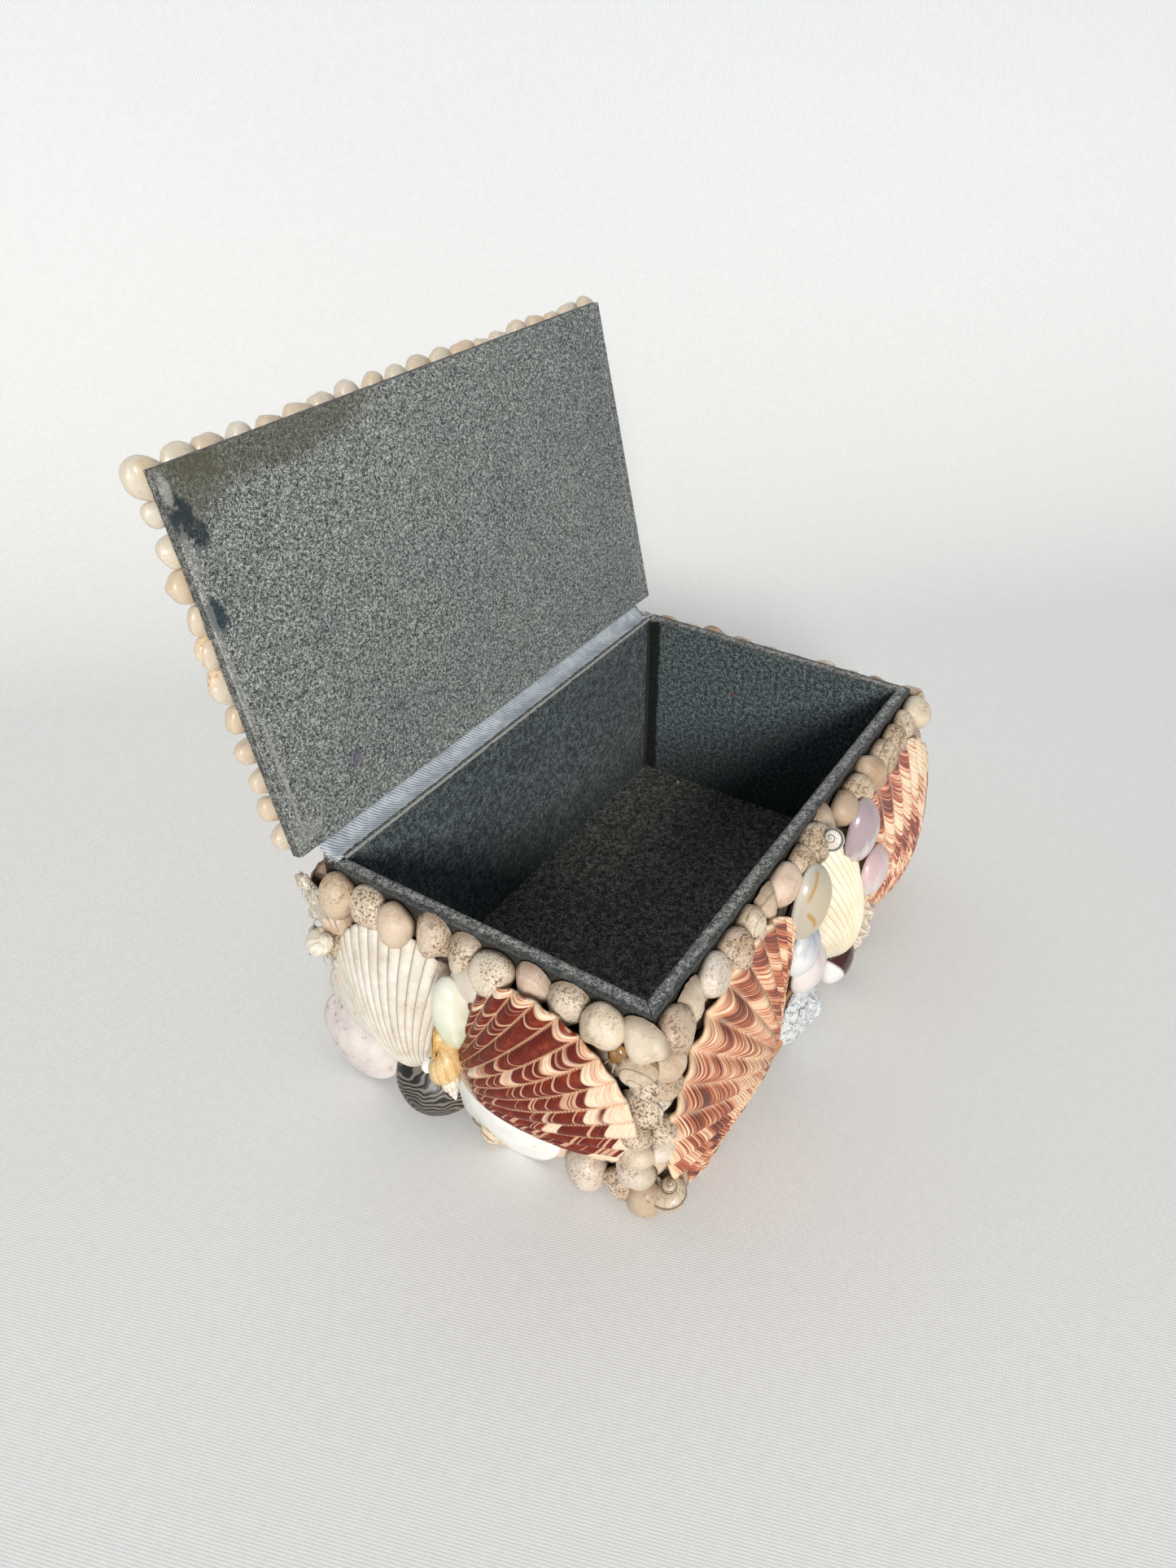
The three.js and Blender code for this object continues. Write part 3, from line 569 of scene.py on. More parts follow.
# Hinge: a strip of blue-grey twill glued down on the back wall's top and inside the lid's edge.
# It crosses the gap between them in one bow, and its cut ends are frayed.
twill, tree, shader = start_material("twill_tape")
place = Value(add_node(tree, "ShaderNodeUVMap", uv_map="tape_lay").outputs["UV"])
threads = use_effect(weave, vector=place, threads=2700.0, diagonal=0.8)
soil = noise_at(place, 90.0, 4.0)
twill_colour = colour_ramp(threads["Shade"],
    [(0.25, (0.15, 0.19, 0.25)), (0.5, (0.40, 0.45, 0.50)), (0.8, (0.66, 0.69, 0.71))])
soil_colour = colour_ramp(soil, [(0.35, (0.72, 0.73, 0.74)), (0.6, (1.0, 1.0, 1.0))])
paint(shader, blend_colours(1.0, twill_colour, soil_colour, "MULTIPLY"), roughness=0.85)
relief(shader, threads["Shade"], 0.0002)

tape_low, tape_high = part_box("hinge_tape")
lid_edge = Vector((0, 0.05375, 0.0745))
tape_thickness = 0.45 * mm
lid_outwards = Vector((0, 0.9755, -0.2198))
tape_bow = ((0.0488, 0.07198), (0.0500, 0.07197), (0.0509, 0.07200), (0.0518, 0.07230),
    (0.0526, 0.07290), (0.0532, 0.07370))
tape_path = [
    Vector((0, tape_low.y + 0.1 * mm, 0.07197)), *[Vector((0, y, z)) for y, z in tape_bow],
    lid_edge - Vector((0, 0.0001, 0.0003)),
    lid_edge - Vector((0, -0.0003, 0.0002)) + 0.4 * mm * lid_outwards,
    lid_edge - Vector((0, 0, 0.0002)) + 3.2 * mm * lid_outwards]
tape_ends = (tape_low.x, tape_high.x)
tape_steps = 82
rumple = 0.12 * mm
points = []
for step in range(tape_steps + 1):
    share = step / tape_steps
    x = tape_ends[0] + share * (tape_ends[1] - tape_ends[0])
    for row, corner in enumerate(tape_path):
        slack = math.sin(math.pi * row / (len(tape_path) - 1))
        lift = rumple * slack * math.sin(37 * share) * math.cos(11 * share + row)
        points.append(Vector((x, corner.y - lift, corner.z + lift)))
across = len(tape_path)
faces = []
for step in range(tape_steps):
    faces += [(a, a + across, a + across + 1, a + 1)
              for a in range(step * across, (step + 1) * across - 1)]
tape_mesh = bpy.data.meshes.new("twill_hinge")
tape_mesh.from_pydata(points, [], faces)
lay = tape_mesh.uv_layers.new(name="tape_lay")
travelled = [0.0]
for a, b in zip(tape_path, tape_path[1:]):
    travelled.append(travelled[-1] + (b - a).length)
for face in tape_mesh.polygons:
    face.use_smooth = True
    for loop in face.loop_indices:
        vertex = tape_mesh.loops[loop].vertex_index
        lay.data[loop].uv = (points[vertex].x, travelled[vertex % across])
tape = link_piece("twill_hinge", tape_mesh, twill)
body = tape.modifiers.new("thickness", "SOLIDIFY")
body.thickness = tape_thickness
body.offset = -1
settle_modifiers(tape)
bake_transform(tape)
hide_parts("hinge_tape")

# Small shells: worn beach shells, each a little dome, glued side by side along the rim, the foot
# and the corners of every wall, round the lid's edge, and in beds between the larger shells.
def start_maker(name, takes):
    """A Geometry Nodes tree with named inputs: the tree, what it is given, and where its mesh goes."""
    made = bpy.data.node_groups.new(name, "GeometryNodeTree")
    made.is_modifier = True
    for label, kind, value in takes:
        socket = made.interface.new_socket(label, in_out="INPUT", socket_type="NodeSocket" + kind)
        if value is not None:
            socket.default_value = value
    made.interface.new_socket("Geometry", in_out="OUTPUT", socket_type="NodeSocketGeometry")
    given = values_of(add_node(made, "NodeGroupInput"))
    return made, given, add_node(made, "NodeGroupOutput").inputs["Geometry"]


def then(geometry, step, feeds=(), **settings):
    """What the next step of a Geometry Nodes tree makes of a geometry."""
    feeds = [("Geometry", geometry), *feeds]
    return Value(add_node(tree_of([geometry]), "GeometryNode" + step, feeds, **settings).outputs[0])


def make_with(maker, name, wall=0.0, place=None, **sizes):
    """A plain mesh piece from a tree and its sizes, given a wall if it needs one, and put in place."""
    piece = link_piece(name, bpy.data.meshes.new(name))
    making = piece.modifiers.new("making", "NODES")
    making.node_group = maker
    for socket in maker.interface.items_tree:
        if socket.in_out == "INPUT" and socket.name.replace(" ", "_").lower() in sizes:
            making[socket.identifier] = sizes[socket.name.replace(" ", "_").lower()]
    if wall:
        body = piece.modifiers.new("wall", "SOLIDIFY")
        body.thickness = wall
        body.offset = -1
    settle_modifiers(piece)
    if place is not None:
        piece.data.transform(place)
    return piece


# A valve grows by adding to its margin, so each growth stage is the whole margin made smaller
# about the beak and turned up over it. The ribs run from the beak to the margin.
right_angle = math.pi / 2
grown_valve, given, made = start_maker("grown valve",
    [("Length", "Float", 0.05), ("Aspect", "Float", 1.1), ("Inflation", "Float", 0.6),
        ("Disc", "Float", 0.5), ("Fan", "Float", right_angle), ("Spread", "Float", right_angle),
        ("Ear", "Float", 0.3), ("Ribs", "Float", 1.0), ("Rib height", "Float", 0.0),
        ("Rib roundness", "Float", 1.0), ("Growth stops", "Float", 8.0),
        ("Stop height", "Float", 0.0), ("Wander", "Float", 0.02), ("Seed", "Float", 0.0),
        ("Columns", "Int", 60), ("Rounds", "Int", 30), ("Finish", "Material", None)])
sheet = add_node(grown_valve, "GeometryNodeMeshGrid",
    [("Size X", 2.0), ("Size Y", 1.0), ("Vertices X", given["Columns"]),
        ("Vertices Y", given["Rounds"])])
lattice = axes_of(Value(add_node(grown_valve, "GeometryNodeInputPosition").outputs[0]))
angle = lattice["X"] * given["Spread"]
growth = calc("MAXIMUM", lattice["Y"] + 0.5, 0.0001)
rib = (angle / given["Fan"] + 1.0) * 0.5 * given["Ribs"]
sine = calc("SINE", angle)
cosine = calc("MAXIMUM", calc("COSINE", angle), 0.0)
in_fan = calc("LESS_THAN", abs(angle), given["Fan"] + 0.001)
disc_radius = given["Length"] * given["Disc"]
disc_centre = given["Length"] - disc_radius
chord = calc("POWER", disc_centre * sine, 2.0)
half_chord = calc("SQRT", calc("MAXIMUM", calc("POWER", disc_radius, 2.0) - chord, 0.0))
disc_reach = disc_centre * cosine + half_chord
ear_width = given["Aspect"] * calc("MAXIMUM", abs(sine), 0.2)
ear_reach = given["Ear"] * given["Length"] / ear_width
reach = disc_reach * in_fan + ear_reach * (1.0 - in_fan)
drift_place = combined(grown_valve, angle * 2.2, growth * 1.6, given["Seed"])
drift = noise_at(drift_place, 1.0, 2.0)
uneven = (drift - 0.5) * given["Wander"]
reach = reach * (uneven + 1.0)
ridge = calc("POWER", abs(calc("SINE", rib * math.pi)), given["Rib roundness"])
ridge = ridge * (in_fan * 0.7 + 0.3)
stop = abs(calc("SINE", growth * (given["Growth stops"] * math.pi)))
crest = ridge * (given["Rib height"] * calc("SQRT", cosine)) + stop * given["Stop height"]
outwards = crest * 0.8 + 1.0
margin_x = given["Aspect"] * reach * (sine * outwards)
margin_y = reach * cosine * outwards
margin_z = crest * given["Length"] + uneven * (given["Length"] * 0.5)
turn = given["Inflation"] * calc("LOGARITHM", 1.0 / growth, math.e)
turn_sine = calc("SINE", turn)
turn_cosine = calc("COSINE", turn)
grown = combined(grown_valve, growth * margin_x,
    growth * (margin_y * turn_cosine - margin_z * turn_sine),
    growth * (margin_y * turn_sine + margin_z * turn_cosine))
valve = Value(sheet.outputs["Mesh"])
for label, value in (("growth", growth), ("rib", rib)):
    valve = then(valve, "StoreNamedAttribute", [("Name", label), ("Value", value)])
valve = then(valve, "SetPosition", [("Position", grown)])
valve = then(valve, "MergeByDistance", [("Distance", 0.00002)])
valve = then(valve, "SetShadeSmooth")
valve = then(valve, "RealizeInstances")
feed(made, then(valve, "SetMaterial", [("Material", given["Finish"])]))

# Sea wear is a shared effect: every shell here was picked up on a beach, so each is mottled,
# pitted by worms and dulled by sand.
sea_wear, given, made = start_effect("sea wear",
    [("Vector", None), ("Mottle size", 0.004), ("Pit size", 0.0007), ("Seed", 0.0)],
    ["Mottle", "Pits", "Grain"])
moved = vector_sum("ADD", given["Vector"], combined(sea_wear, given["Seed"]))
mottle = noise_at(moved, 1.0 / given["Mottle size"], 4.0, 0.6)
feed(made["Mottle"], grade(mottle, 0.3, 0.7))
pits = noise_at(moved, 1.0 / given["Pit size"], 1.0)
feed(made["Pits"], grade(pits, 0.58, 0.67))
grain = noise_at(moved, 2200.0, 5.0)
feed(made["Grain"], grain)


def read_attribute(tree, name):
    return Value(add_node(tree, "ShaderNodeAttribute", attribute_name=name).outputs["Fac"])


def start_shell(name, mottle_size, pit_size, seed=0.0):
    """A new material with sea wear in it: the material, its tree, its shader and the wear."""
    material, tree, shader = start_material(name)
    wear = use_effect(
        sea_wear, vector=place_in(tree), mottle_size=mottle_size, pit_size=pit_size, seed=seed)
    return material, tree, shader, wear


worn_shell, tree, shader, wear = start_shell("worn_small_shell", 0.005, 0.0006)
where = place_in(tree)
tint = read_attribute(tree, "tint")
patches = use_effect(sea_wear, vector=where, mottle_size=0.010, pit_size=0.0011, seed=3.0)
colour = colour_ramp(tint,
    [(0.0, (0.72, 0.65, 0.57)), (0.14, (0.62, 0.46, 0.32)), (0.28, (0.72, 0.61, 0.46)),
        (0.42, (0.52, 0.35, 0.19)), (0.56, (0.60, 0.49, 0.36)), (0.70, (0.38, 0.235, 0.12)),
        (0.84, (0.67, 0.48, 0.35)), (1.0, (0.46, 0.32, 0.18))])
growth = read_attribute(tree, "growth")
smooth_part = grade(patches["Mottle"], 0.75, 0.45)
colour = blend_colours(smooth_part * 0.22, colour, (0.80, 0.75, 0.67))
rise = read_attribute(tree, "rise")
low_side = grade(rise, 0.1, -0.95, 0.0, 0.5)
colour = blend_colours(low_side, colour, (0.36, 0.25, 0.15))
# Painted shade: each dome darkens towards its foot, and each valve towards its margin, for the shadow between
# neighbouring shells.
colour = blend_colours(grade(growth, 0.80, 0.98, 0.0, 0.75), colour, (0.15, 0.095, 0.055))
colour = blend_colours(grade(patches["Mottle"], 0.5, 0.95, 0.0, 0.45), colour, (0.33, 0.22, 0.135))
pitted = grade(calc("FRACT", tint * 7.3), 0.1, 0.7, 0.15, 1.0)
pitted = pitted * grade(patches["Mottle"], 0.3, 0.6, 0.25, 1.0)
pit_share = calc("MAXIMUM", wear["Pits"], patches["Pits"]) * pitted
colour = blend_colours(pit_share, colour, (0.22, 0.14, 0.085))
around = calc("ARCTAN2", rise, read_attribute(tree, "over"))
winding = calc("FRACT", growth * 3.0 + around / (2 * math.pi))
wound = grade(calc("FRACT", tint * 5.7), 0.80, 0.84)
line_share = grade(abs(winding - 0.5), 0.09, 0.03) * wound
colour = blend_colours(line_share * 0.55, colour, (0.20, 0.13, 0.08))
# Painted shade: shells on the lid are multiplied darker and browner, for the shaded sides seen there.
lid_shells_from, lid_shells_whole = 0.073, 0.077
lid_shells_shade = grade(axes_of(where)["Z"], lid_shells_from, lid_shells_whole)
colour = blend_colours(lid_shells_shade, colour, (0.80, 0.72, 0.62), "MULTIPLY")
paint(shader, colour, roughness=grade(smooth_part, 0.0, 1.0, 0.62, 0.40))
height = wear["Grain"] * 0.3 + (1.0 - pit_share) * 0.5
height = height + wear["Mottle"] * 0.45
relief(shader, height - line_share * 0.25, 0.00045)


def domed(name, length, width, depth, finish, place, seed=0.0, lump=0.03, spikes=0.0, wrap=90,
          taper=0.0, fullness=2.0, sides=40, rounds=14):
    """A smooth oval centred on its place, with growth running out from its middle; wrap is how far
    it curves, so that one over 90 degrees is widest above the wall it is glued to."""
    shape = bmesh.new()
    growth_layer = shape.verts.layers.float.new("growth")
    rib_layer = shape.verts.layers.float.new("rib")
    over_layer = shape.verts.layers.float.new("over")
    rise_layer = shape.verts.layers.float.new("rise")
    last_turn = math.radians(wrap)
    rings = []
    for step in range(1, rounds + 1):
        share = step / rounds
        out = math.sin(share * last_turn)
        above_wall = math.cos(share * last_turn) - math.cos(last_turn)
        high = max(0.0, above_wall / (1 - math.cos(last_turn))) ** 0.9
        ring = []
        for side in range(sides):
            angle = 2 * math.pi * side / sides
            across, along = math.cos(angle), math.sin(angle)
            wander = 1 + lump * math.sin(2 * angle + seed) + 0.5 * lump * math.sin(3 * angle + 2 * seed)
            thorn = math.sin(7 * angle + 5 * share) * math.sin(9 * share + seed)
            wander += spikes * max(0.0, thorn) ** 2
            wander += lump * noise.noise(Vector((1.6 * across, 1.6 * along, 2.5 * share + 3 * seed)))
            wander *= (abs(across) ** fullness + abs(along) ** fullness) ** (-1 / fullness)
            narrowed = 1 - taper * out * along
            vertex = shape.verts.new((
                out * wander * narrowed * width / 2 * across,
                out * wander * length / 2 * along,
                depth * high * (1 + 0.5 * lump * math.sin(3 * angle + seed) * out)))
            vertex[growth_layer] = share
            vertex[rib_layer] = side / sides * 9
            vertex[over_layer] = share * across
            vertex[rise_layer] = share * along
            ring.append(vertex)
        rings.append(ring)
    peak = shape.verts.new((0, 0, depth))
    foot = shape.verts.new((0, 0, 0))
    foot[growth_layer] = 1.0
    for side in range(sides):
        after = (side + 1) % sides
        shape.faces.new((peak, rings[0][side], rings[0][after]))
        shape.faces.new((foot, rings[-1][after], rings[-1][side]))
        for inner, outer in zip(rings, rings[1:]):
            shape.faces.new((inner[side], outer[side], outer[after], inner[after]))
    return link_piece(name, mesh_from(shape, name, place), finish)


small_kinds = bpy.data.collections.new("small_shell_kinds")
kinds_made = []
for number, (width, depth, lump, taper, wrap) in enumerate((
    (0.86, 0.60, 0.05, -0.10, 116), (0.90, 0.54, 0.10, -0.04, 110), (0.82, 0.60, 0.07, -0.14, 116),
    (0.94, 0.54, 0.06, 0.03, 110), (0.80, 0.56, 0.11, -0.12, 114),
)):
    kinds_made.append(domed(f"small_shell_{number}", 1.0, width, depth, worn_shell,
        Matrix.Identity(4), 1.9 * number, lump, wrap=wrap, taper=taper, fullness=2.45, sides=24,
        rounds=9))
for number, (aspect, inflation, ribs, rib_height) in enumerate((
    (0.98, 1.15, 13.0, 0.03), (0.9, 1.2, 9.0, 0.026),
)):
    valve = make_with(grown_valve, f"small_shell_{5 + number}", length=1.0, rib_roundness=0.8,
        growth_stops=5.0, stop_height=0.006, wander=0.1, seed=4.0 + 3.7 * number, columns=31,
        rounds=11, finish=worn_shell, aspect=aspect, inflation=inflation, disc=0.53, ribs=ribs,
        rib_height=rib_height)
    reach = [vertex.co.y for vertex in valve.data.vertices]
    valve.data.transform(Matrix.Translation((0, -(max(reach) + min(reach)) / 2, 0)))
    kinds_made.append(valve)
for kind in kinds_made:
    bpy.context.scene.collection.objects.unlink(kind)
    small_kinds.objects.link(kind)

# One row: shells along a line, each one picked, turned, sized and tinted by chance.
shell_row, given, made = start_maker("row of glued shells",
    [("Start", "Vector", None), ("End", "Vector", None), ("Count", "Int", 10),
        ("Facing", "Vector", None), ("Turn", "Float", 0.0), ("Spin", "Float", 0.5),
        ("Size", "Float", 0.011), ("Least", "Float", 0.9), ("Most", "Float", 1.1),
        ("Shape", "Vector", None), ("Scatter", "Float", 0.0005), ("Pale", "Float", 0.0),
        ("Dark", "Float", 1.0), ("Seed", "Int", 0), ("Last kind", "Int", 6),
        ("Shells", "Collection", None), ("Finish", "Material", None)])
line = add_node(shell_row, "GeometryNodeMeshLine",
    [("Count", given["Count"]), ("Start Location", given["Start"]), ("Offset", given["End"])],
    mode="END_POINTS")


def by_chance(low, high, step, kind="FLOAT"):
    """A random number for each shell; step keeps the draws of one row apart."""
    at = {"FLOAT": (2, 3, 1), "INT": (4, 5, 2)}[kind]
    seed = given["Seed"] + float(step)
    made = add_node(shell_row, "FunctionNodeRandomValue",
        [(at[0], low), (at[1], high), ("Seed", seed)], data_type=kind)
    return Value(made.outputs[at[2]])


spread = given["Scatter"] * -1.0
scattered = combined(shell_row, by_chance(spread, given["Scatter"], 11),
    by_chance(spread, given["Scatter"], 12), by_chance(spread, given["Scatter"], 13))
eased = then(Value(line.outputs["Mesh"]), "SetPosition", [("Offset", scattered)])
facing = add_node(shell_row, "FunctionNodeEulerToRotation", [("Euler", given["Facing"])])
spin = given["Turn"] + by_chance(given["Spin"] * -1.0, given["Spin"], 21)
lean = combined(shell_row, by_chance(-0.12, 0.12, 31), by_chance(-0.16, 0.16, 32), spin)
twist = add_node(shell_row, "FunctionNodeEulerToRotation", [("Euler", lean)])
facing = add_node(shell_row, "FunctionNodeRotateRotation",
    [("Rotation", facing.outputs[0]), ("Rotate By", twist.outputs[0])], rotation_space="LOCAL")
size = given["Size"] * by_chance(given["Least"], given["Most"], 41)
scaled = add_node(
    shell_row, "ShaderNodeVectorMath", [(0, given["Shape"]), ("Scale", size)], operation="SCALE")
uneven = combined(shell_row, by_chance(0.90, 1.08, 42), 1.0, by_chance(0.86, 1.08, 43))
scale = vector_sum("MULTIPLY", Value(scaled.outputs[0]), uneven)
kinds = add_node(shell_row, "GeometryNodeCollectionInfo",
    [("Collection", given["Shells"]), ("Separate Children", True), ("Reset Children", True)])
laid = add_node(shell_row, "GeometryNodeInstanceOnPoints",
    [("Points", eased), ("Instance", kinds.outputs[0]), ("Pick Instance", True),
        ("Instance Index", by_chance(0, given["Last kind"], 51, "INT")),
        ("Rotation", facing.outputs[0]), ("Scale", scale)])
tint = by_chance(given["Pale"], given["Dark"], 61)
row = then(Value(laid.outputs[0]), "StoreNamedAttribute", [("Name", "tint"), ("Value", tint)],
           domain="INSTANCE")
row = then(row, "RealizeInstances")
feed(made, then(row, "SetMaterial", [("Material", given["Finish"])]))

# Each wall is a face with its own directions: along it, up it and out of it.
wall_length, wall_width, rim_height = 0.168, 0.101, 0.072
lid_length, lid_width = 0.1799, 0.1027
lid_opening = math.radians(-102.7)
lid_axis = (0, 0.05325, 0.0723)
lid_back_edge = (0.00155, -0.10495, 0.0035)


def face_of(origin, along, up):
    turned = Matrix((along, up, Vector(along).cross(Vector(up)))).transposed().to_4x4()
    return Matrix.Translation(origin) @ turned


faces = {
    "front": (face_of((0, -wall_width / 2, 0), (1, 0, 0), (0, 0, 1)), wall_length, rim_height),
    "left": (face_of((-wall_length / 2, 0, 0), (0, -1, 0), (0, 0, 1)), wall_width, rim_height),
    "right": (face_of((wall_length / 2, 0, 0), (0, 1, 0), (0, 0, 1)), wall_width, rim_height),
    "back": (face_of((0, wall_width / 2, 0), (-1, 0, 0), (0, 0, 1)), wall_length, rim_height),
    "lid": (Matrix.Translation(lid_axis) @ Matrix.Rotation(lid_opening, 4, "X")
            @ Matrix.Translation(lid_back_edge), lid_length, lid_width),
}


def lay_row(name, face, start, end, count, size, seed, shape=(1, 1, 1), turn=0.0, spin=0.5,
            out=0.4 * mm, spread=(0.92, 1.1), scatter=0.4 * mm, tints=(0.0, 1.0), last_kind=6,
            finish=worn_shell):
    """A row of small shells on one face, from one place to another, in metres along and up it."""
    place = faces[face][0]
    ends = [place @ Vector((*end_place, out)) for end_place in (start, end)]
    return make_with(shell_row, name, start=tuple(ends[0]), end=tuple(ends[1]), count=count,
        facing=tuple(place.to_euler()), turn=turn, spin=spin, size=size, least=spread[0],
        most=spread[1], shape=shape, scatter=scatter, pale=tints[0], dark=tints[1], seed=seed,
        last_kind=last_kind, shells=small_kinds, finish=finish)


def as_one(name, parts):
    """Several pieces joined into the first."""
    with bpy.context.temp_override(active_object=parts[0], selected_editable_objects=parts):
        bpy.ops.object.join()
    parts[0].name = name
    parts[0].data.name = name
    return parts[0]


rim_line = 0.0654
foot_line = 0.0066
row_size = 0.0129
foot_size, foot_pitch = 0.0122, 0.0058
bed_size, bed_pitch = 0.0118, 0.0062
corner_inset = 0.0042
for face, first, last, count, turn, seed in (
    ("front", -0.0795, 0.0790, 17, 0.15, 5), ("left", -0.0440, 0.0490, 10, -0.1, 12),
    ("right", -0.0490, 0.0440, 10, 0.0, 23), ("back", -0.0840, 0.0840, 18, 0.0, 31),
):
    height = rim_line + {"back": -0.8, "front": 0.15, "left": -0.65, "right": -1.0}[face] * mm
    glue_on(
        lay_row("rim_shells_" + face, face, (first, height), (last, height), count,
            row_size * (0.97 if face == "right" else 1.0), seed,
            shape=(0.98, 0.88 if face == "front" else 0.99, 1.05), turn=turn, spin=0.3,
            spread=(0.96, 1.04)), "box", "small_shell", "rim_row_" + face)
    reach = faces[face][1] / 2 - 0.006
    foot_height = foot_line + (0.5 * mm if face == "front" else 0.0)
    foot = lay_row("foot_shells_" + face, face, (0.004 if face == "left" else -reach, foot_height),
        (reach, foot_height), 5 if face == "left" else round(reach / foot_pitch), foot_size, seed + 1,
        shape=(1.0, 0.97, 1.0), spin=1.0)
    glue_on(foot, "box", "small_shell", "foot_row_" + face)
    columns = []
    for step, side in enumerate((-1, 1)):
        laps = {("left", 1): 0.0022, ("right", -1): 0.0022, ("front", -1): 0.0016}
        lap = laps.get((face, side), 0.0)
        place = side * (faces[face][1] / 2 - corner_inset + lap)
        columns.append(lay_row("column", face, (place, 0.0160), (place, 0.0562), 6,
            0.0094 if (face, side) == ("front", -1) else 0.0104, seed + 2 + step, turn=math.pi / 2,
            spin=0.4, shape=(0.92, 1.0, 1.15), tints=(0.0, 0.32)))
    ends = {"front": ("left", "right"), "left": ("front", "back"), "right": ("front", "back")}
    stood_for = [f"column_{face}_{end}" for end in ends.get(face, ())]
    glue_on(as_one("corner_shells_" + face, columns), "box", "small_shell", *stood_for)
    bed = []
    for step, height in enumerate((0.0185, 0.0290, 0.0395, 0.0500)):
        bed.append(lay_row("bed", face, (-reach + 0.007, height), (reach - 0.007, height),
            round(reach / bed_pitch), bed_size, seed + 4 + step, spin=3.0, scatter=1.2 * mm,
            out=-0.6 * mm, shape=(1.0, 1.0, 0.45 if face == "front" else 0.6)))
    glue_on(as_one("bed_shells_" + face, bed), "box", "small_shell")

# Scallop of the left wall: a ribbed calico valve glued by its hollow side, its beak to the back.
# Each rib is maroon with cream crescents across it, the umbo is bare and the margin is cream.
rib_pattern, given, made = start_effect("rib pattern",
    [("Rib", None), ("Growth", None), ("Bend", 0.035), ("Crescents", 26.0), ("Streaks", 60.0),
        ("Seed", 0.0)], ["Bulge", "Bent growth", "Crescent", "Patch", "Rib chance", "Streak"])
cell = calc("FLOOR", given["Rib"])
part = calc("FRACT", given["Rib"])
bulge = part * (1.0 - part) * 4.0
bent = given["Growth"] + bulge * given["Bend"]


def pattern_noise(across, along, depth, detail=2.0):
    place = combined(rib_pattern, across, along, given["Seed"] + depth)
    return noise_at(place, 1.0, detail)


own_rib = cell * 3.71
crescent = pattern_noise(own_rib, bent * given["Crescents"], 0.3)
rib_patch = pattern_noise(own_rib, bent * 5.0, 7.1)
patch = pattern_noise(given["Rib"] * 0.32, bent * 6.0, 2.7, 3.0)
streak = pattern_noise(given["Rib"] * 0.5, bent * given["Streaks"], 5.5)
for label, value in (
    ("Bulge", bulge), ("Bent growth", bent), ("Crescent", crescent), ("Patch", patch),
    ("Rib chance", rib_patch), ("Streak", streak),
):
    feed(made[label], value)


def rib_marks(tree, **pattern):
    """The rib pattern on a valve's own ribs and growth, with those two in it."""
    own = {"Rib": read_attribute(tree, "rib"), "Growth": read_attribute(tree, "growth")}
    return {**own, **use_effect(rib_pattern, rib=own["Rib"], growth=own["Growth"], **pattern)}


calico, tree, shader, wear = start_shell("calico_scallop", 0.003, 0.0006)
marks = rib_marks(tree, bend=0.035, crescents=44.0, seed=3.0)
growth = marks["Growth"]
cream, maroon = (0.82, 0.67, 0.49), (0.100, 0.008, 0.003)
body_colour = colour_ramp(
    wear["Mottle"], [(0.0, maroon), (0.6, (0.150, 0.014, 0.005)), (1.0, (0.26, 0.040, 0.012))])
line = grade(marks["Crescent"], 0.585, 0.61)
body_colour = blend_colours(line * 0.9, body_colour, (0.64, 0.37, 0.23))
near_beak = grade(growth + (marks["Rib chance"] - 0.5) * 0.30, 0.34, 0.28)
edge_place = marks["Bent growth"] + (marks["Rib chance"] - 0.5) * 0.55
right_side = grade(marks["Rib"], 5.0, 10.0)
edge_place = edge_place + right_side * 0.04
near_margin = grade(edge_place, 0.955, 0.966)
blotch = grade(marks["Rib chance"], 0.63, 0.66)
bare = calc("MAXIMUM", calc("MAXIMUM", near_beak, near_margin), blotch)
margin_colour = colour_ramp(marks["Streak"],
    [(0.44, cream), (0.52, (0.78, 0.44, 0.25)), (0.58, (0.50, 0.14, 0.06)), (0.66, cream)])
margin_colour = blend_colours(right_side * 0.8, margin_colour, cream)
umbo_colour = (0.66, 0.56, 0.45)
bare_colour = blend_colours(grade(growth, 0.30, 0.5), umbo_colour, margin_colour)
colour = blend_colours(bare, body_colour, bare_colour)
groove = grade(marks["Bulge"], 0.34, 0.10)
stitches = grade(calc("SINE", growth * 420.0), -0.4, 0.5, 0.45, 1.0)
colour = blend_colours(groove * stitches, colour, (0.62, 0.37, 0.22))
paint(shader, colour, roughness=0.42, specular_ior_level=0.3)
rings = calc("SINE", marks["Bent growth"] * 330.0)
height = rings * 0.25 + wear["Grain"] * 0.5
relief(shader, height - groove * 0.3, 0.00014)


def place_on(face, at, turn=90, stand=0.0, tilt=0, roll=0):
    """Where a shell goes: at is its beak as shares of the face, stand its height off the wall."""
    place, length, height = faces[face]
    spot = Vector((at[0] * length, at[1] * height, stand + 0.3 * mm))
    place = place @ Matrix.Translation(spot) @ Matrix.Rotation(math.radians(turn - 90), 4, "Z")
    return (place @ Matrix.Rotation(math.radians(tilt), 4, "X")
        @ Matrix.Rotation(math.radians(roll), 4, "Y"))


def valve_kind(wall, **shape):
    """A kind of valve: a function that makes one of that shape, with changes, and puts it in place."""
    def make(name, length, finish, place, **changes):
        sizes = {**shape, "length": length, "finish": finish, **changes}
        return make_with(grown_valve, name, wall, place, **sizes)
    return make


